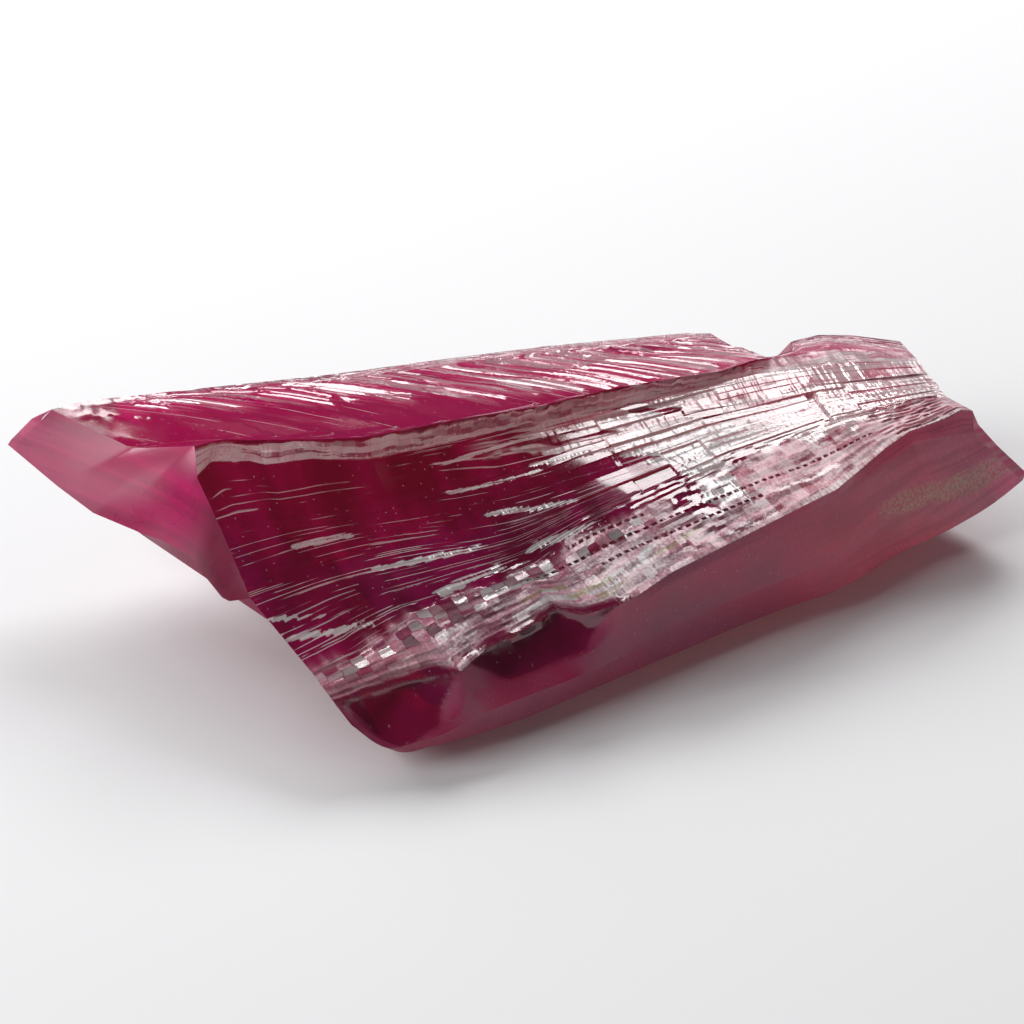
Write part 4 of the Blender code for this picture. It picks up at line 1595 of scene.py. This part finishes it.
    def _roughness(self, make: Nodes, zone: Zones, effect: Effects) -> Socket:
        """Roughness from a clean break to the ground skin.

        Args:
            make: Adds nodes to the material.
            zone: The zones of the surface.
            effect: The patterns.

        Returns:
            The roughness.
        """
        cover = make.math("MAXIMUM", zone[Mask.FROST], zone[Mask.STAIN])
        rough = make.ramp(cover, 0.0, 1.0, self.clear_roughness, self.frost_roughness)
        rough = make.plus(rough, make.times(zone[Mask.GROWTH], 0.20))
        uneven = make.ramp(effect.ticks, 0.35, 0.65, 0.02, 0.16)
        rough = make.plus(rough, make.times(zone[Mask.PLATES], uneven))
        rough = make.plus(rough, make.times(effect.lines, 0.4))
        rough = make.less(rough, make.times(zone[Mask.TILES], 0.20))
        return make.plus(rough, make.ramp(effect.cloud, 0.3, 0.7, -0.02, 0.05), clamp=True)

    def _normal(self, make: Nodes, zone: Zones, effect: Effects) -> Socket:
        """Normal with leaning cells on the broken zones, fracture lips and frost grain.

        Args:
            make: Adds nodes to the material.
            zone: The zones of the surface.
            effect: The patterns.

        Returns:
            The normal.
        """
        surface = make.add("NewGeometry").outputs["Normal"]
        leaning = make.blend_vector(make.times(zone[Mask.PLATES], 0.50), surface, effect.facet)
        leaning = make.blend_vector(zone[Mask.TILES], leaning, effect.tile)
        leaning = make.blend_vector(make.times(zone[Mask.GROWTH], 0.34), leaning, (0.0, 0.0, 1.0))
        rough = make.times(make.less(effect.grain, 0.5), make.times(zone[Mask.FROST], 0.32))
        broken = make.math("MAXIMUM", zone[Mask.PLATES], zone[Mask.WISP])
        tick = make.times(make.less(effect.ticks, 0.5), broken)
        lip = make.times(make.plus(effect.raised, make.times(effect.pits, 2.2)), -0.45)
        push = make.vector(make.plus(make.times(tick, 0.8), rough), make.plus(lip, rough))
        return make.leaned(leaning, push)


@dataclass
class Dresser:
    """Turns patches into one welded mesh object with its zones and its grain."""

    def object(self, name: str, patches: list[Patch]) -> bpy.types.Object:
        """Welds the patches.

        Args:
            name: Name of the object.
            patches: Patches that meet along shared edges, in millimetres.

        Returns:
            A closed mesh object in metres, centred over the origin and resting at height 0.
        """
        points, faces, grain, masks = [], [], [], {m: [] for m in Mask}
        offset = 0
        for patch in patches:
            r, c = patch.points.shape[:2]
            index = np.arange(r * c).reshape(r, c) + offset
            quads = np.stack([index[:-1, :-1], index[:-1, 1:], index[1:, 1:], index[1:, :-1]], -1)
            faces.append(quads.reshape(-1, 4))
            points.append(patch.points.reshape(-1, 3))
            grain.append(np.stack([patch.along, patch.across], -1).reshape(-1, 2))
            for m in Mask:
                masks[m].append(np.broadcast_to(patch.masks.get(m, 0.0), (r, c)).reshape(-1))
            offset += r * c
        place, quads = np.concatenate(points), np.concatenate(faces)
        middle = (place.min(0) + place.max(0)) / 2
        place = (place - np.array([middle[0], middle[1], place[:, 2].min()])) * MM
        mesh = bpy.data.meshes.new(name)
        mesh.from_pydata(place.tolist(), [], quads.tolist())
        corners = quads.reshape(-1)
        layer = mesh.uv_layers.new(name="grain")
        layer.data.foreach_set("uv", (np.concatenate(grain)[corners] * MM / UV_METRES).ravel())
        for m in Mask:
            data = mesh.attributes.new(m.value, "FLOAT", "CORNER")
            data.data.foreach_set("value", np.concatenate(masks[m])[corners].astype(np.float32))
        self._weld(mesh)
        made = bpy.data.objects.new(name, mesh)
        bpy.context.scene.collection.objects.link(made)
        return made

    @staticmethod
    def _weld(mesh: bpy.types.Mesh) -> None:
        """Joins the patches, turns the faces outwards and keeps edges crisp.

        Args:
            mesh: The mesh, changed in place.
        """
        bm = bmesh.new()
        bm.from_mesh(mesh)
        bmesh.ops.remove_doubles(bm, verts=bm.verts, dist=WELD_MM * MM)
        bmesh.ops.recalc_face_normals(bm, faces=bm.faces)
        if bm.calc_volume(signed=True) < 0:
            bmesh.ops.reverse_faces(bm, faces=bm.faces)
        bm.to_mesh(mesh)
        bm.free()
        mesh.shade_smooth()
        mesh.set_sharp_from_angle(angle=math.radians(SHARP_DEGREES))


@dataclass
class RubyCrystal:
    """The whole crystal, one solid piece.

    Args:
        mesher: Fineness of the mesh.
        face: The split face.
        skin: The underside.
        ends: Both ends.
        finish: The stone.
    """

    mesher: Mesher = field(default_factory=Mesher)
    face: SplitFace = field(default_factory=SplitFace)
    skin: Underside = field(default_factory=Underside)
    ends: Ends = field(default_factory=Ends)
    finish: RubyFinish = field(default_factory=RubyFinish)

    def build(self) -> bpy.types.Object:
        """Builds the crystal over its CAD solid.

        Returns:
            The crystal, riding on the root body in the CAD node's place.
        """
        face = self.face
        steps = [*face.plate_edges, *[face.back_rim.station(x) for x in face.rim_steps]]
        rows = self.mesher.rows([p for p, _ in face.ledges])
        stations = self.mesher.stations(steps, face.front_rim.length)
        top = face.patch(rows, stations)
        under = self.skin.patch(rows, stations, face)
        patches = [top, under, *self.ends.patches(rows, top.points, under.points)]
        crystal = Dresser().object("ruby", patches)
        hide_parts(NODE)
        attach(crystal, "root")
        return crystal

    def dress(self, crystal: bpy.types.Object) -> None:
        """Gives the crystal its one material."""
        crystal.data.materials.append(self.finish.material())


@dataclass(frozen=True)
class Lamp:
    """A soft rectangular light aimed at the piece.

    Args:
        name: Name of the light.
        azimuth: Its way round the piece, in degrees.
        elevation: Its height above the horizon, in degrees.
        distance: Distance from the piece, in metres.
        size: Width and height, in metres.
        power: Power in watts.
        mirrored: False for a fill that isn't seen in the polished faces.
    """

    name: str
    azimuth: float
    elevation: float
    distance: float
    size: tuple[float, float]
    power: float
    mirrored: bool = True


@dataclass
class Studio:
    """Pale floor, soft light from behind and above, and the camera.

    Args:
        lamps: The lights. The first two show in the polished faces.
        azimuth: Camera's way round the piece in degrees, 0 looking along +Y.
        elevation: Camera's height above the horizon in degrees.
        lens: Focal length, in millimetres.
        distance: Camera to target, in metres.
        target: Point in the middle of the picture, in metres.
        sensor: Width of the sensor, in millimetres.
        sight: Nearest and farthest distance that the camera sees, in metres.
        floor_size: Side of the floor, in metres.
        floor_colour: Colour of the floor.
        floor_roughness: Roughness of the floor.
        floor_shine: How much of the light it mirrors.
        world_colour: Colour of the even light from all round.
        world_strength: Its strength.
    """

    lamps: tuple[Lamp, ...] = (
        Lamp("window", 137.0, 45.0, 0.25, (0.11, 0.13), 0.40),
        Lamp("back light", 200.0, 38.0, 0.26, (0.19, 0.15), 0.50),
        Lamp("side fill", -90.0, 34.0, 0.35, (0.20, 0.20), 0.80, False),
        Lamp("front fill", 32.0, 18.0, 0.35, (0.16, 0.14), 0.16, False))
    azimuth: float = -30.0
    elevation: float = 32.0
    lens: float = 135.0
    distance: float = 0.16696
    target: Point = (-0.0016575, -0.0007306, 0.004)
    sensor: float = 36.0
    sight: tuple[float, float] = (0.01, 10.0)
    floor_size: float = 1.6
    floor_colour: Colour = (0.71, 0.71, 0.72, 1.0)
    floor_roughness: float = 0.9
    floor_shine: float = 0.1
    world_colour: Colour = (1.0, 1.0, 1.0, 1.0)
    world_strength: float = 0.05

    def build(self) -> None:
        """Adds floor, lights, camera and background."""
        self._floor()
        self._world()
        for lamp in self.lamps:
            self._light(lamp)
        self._camera()

    def _floor(self) -> None:
        """A wide plain floor at height 0."""
        half = self.floor_size / 2
        mesh = bpy.data.meshes.new("floor")
        mesh.from_pydata([(-half, -half, 0), (half, -half, 0), (half, half, 0), (-half, half, 0)], [],
                         [(0, 1, 2, 3)])
        floor = bpy.data.objects.new("floor", mesh)
        bpy.context.scene.collection.objects.link(floor)
        mat = bpy.data.materials.new("floor")
        mat.use_nodes = True
        shader = mat.node_tree.nodes["Principled BSDF"]
        shader.inputs["Base Color"].default_value = self.floor_colour
        shader.inputs["Roughness"].default_value = self.floor_roughness
        shader.inputs["Specular IOR Level"].default_value = self.floor_shine
        mesh.materials.append(mat)

    def _world(self) -> None:
        """Even pale light from all round."""
        world = bpy.data.worlds.new("studio")
        world.use_nodes = True
        sky = world.node_tree.nodes["Background"]
        sky.inputs["Color"].default_value = self.world_colour
        sky.inputs["Strength"].default_value = self.world_strength
        bpy.context.scene.world = world

    def _light(self, lamp: Lamp) -> None:
        """Adds one light.

        Args:
            lamp: Where it stands, its size and its power.
        """
        data = bpy.data.lights.new(lamp.name, "AREA")
        data.shape, data.energy = "RECTANGLE", lamp.power
        data.size, data.size_y = lamp.size
        light = bpy.data.objects.new(lamp.name, data)
        light.visible_glossy = lamp.mirrored
        self._aim(light, lamp.azimuth, lamp.elevation, lamp.distance)

    def _camera(self) -> None:
        """Adds the camera."""
        data = bpy.data.cameras.new("camera")
        data.lens, data.sensor_width = self.lens, self.sensor
        data.clip_start, data.clip_end = self.sight
        camera = bpy.data.objects.new("camera", data)
        self._aim(camera, self.azimuth, self.elevation, self.distance)
        bpy.context.scene.camera = camera

    def _aim(self, thing: bpy.types.Object, azimuth: float, elevation: float, distance: float) -> None:
        """Places a light or the camera round the target and turns it there.

        Args:
            thing: What is placed.
            azimuth: Its way round the piece, in degrees.
            elevation: Its height above the horizon, in degrees.
            distance: Distance from the target, in metres.
        """
        a, e = math.radians(azimuth), math.radians(elevation)
        way = Vector((math.sin(a) * math.cos(e), -math.cos(a) * math.cos(e), math.sin(e)))
        thing.location = Vector(self.target) + way * distance
        thing.rotation_euler = way.to_track_quat("Z", "Y").to_euler()
        bpy.context.scene.collection.objects.link(thing)


def main() -> None:
    """Builds the crystal and the studio."""
    logging.basicConfig(level=logging.INFO)
    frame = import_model()
    LOG.info("frame with nodes %s", ", ".join(sorted(frame["nodes"])))
    ruby = RubyCrystal()
    crystal = ruby.build()
    ruby.dress(crystal)
    LOG.info("%s: %d faces", crystal.name, len(crystal.data.polygons))
    Studio().build()
    scene = bpy.context.scene
    scene.view_settings.view_transform = "Standard"


if __name__ == "__main__":
    main()
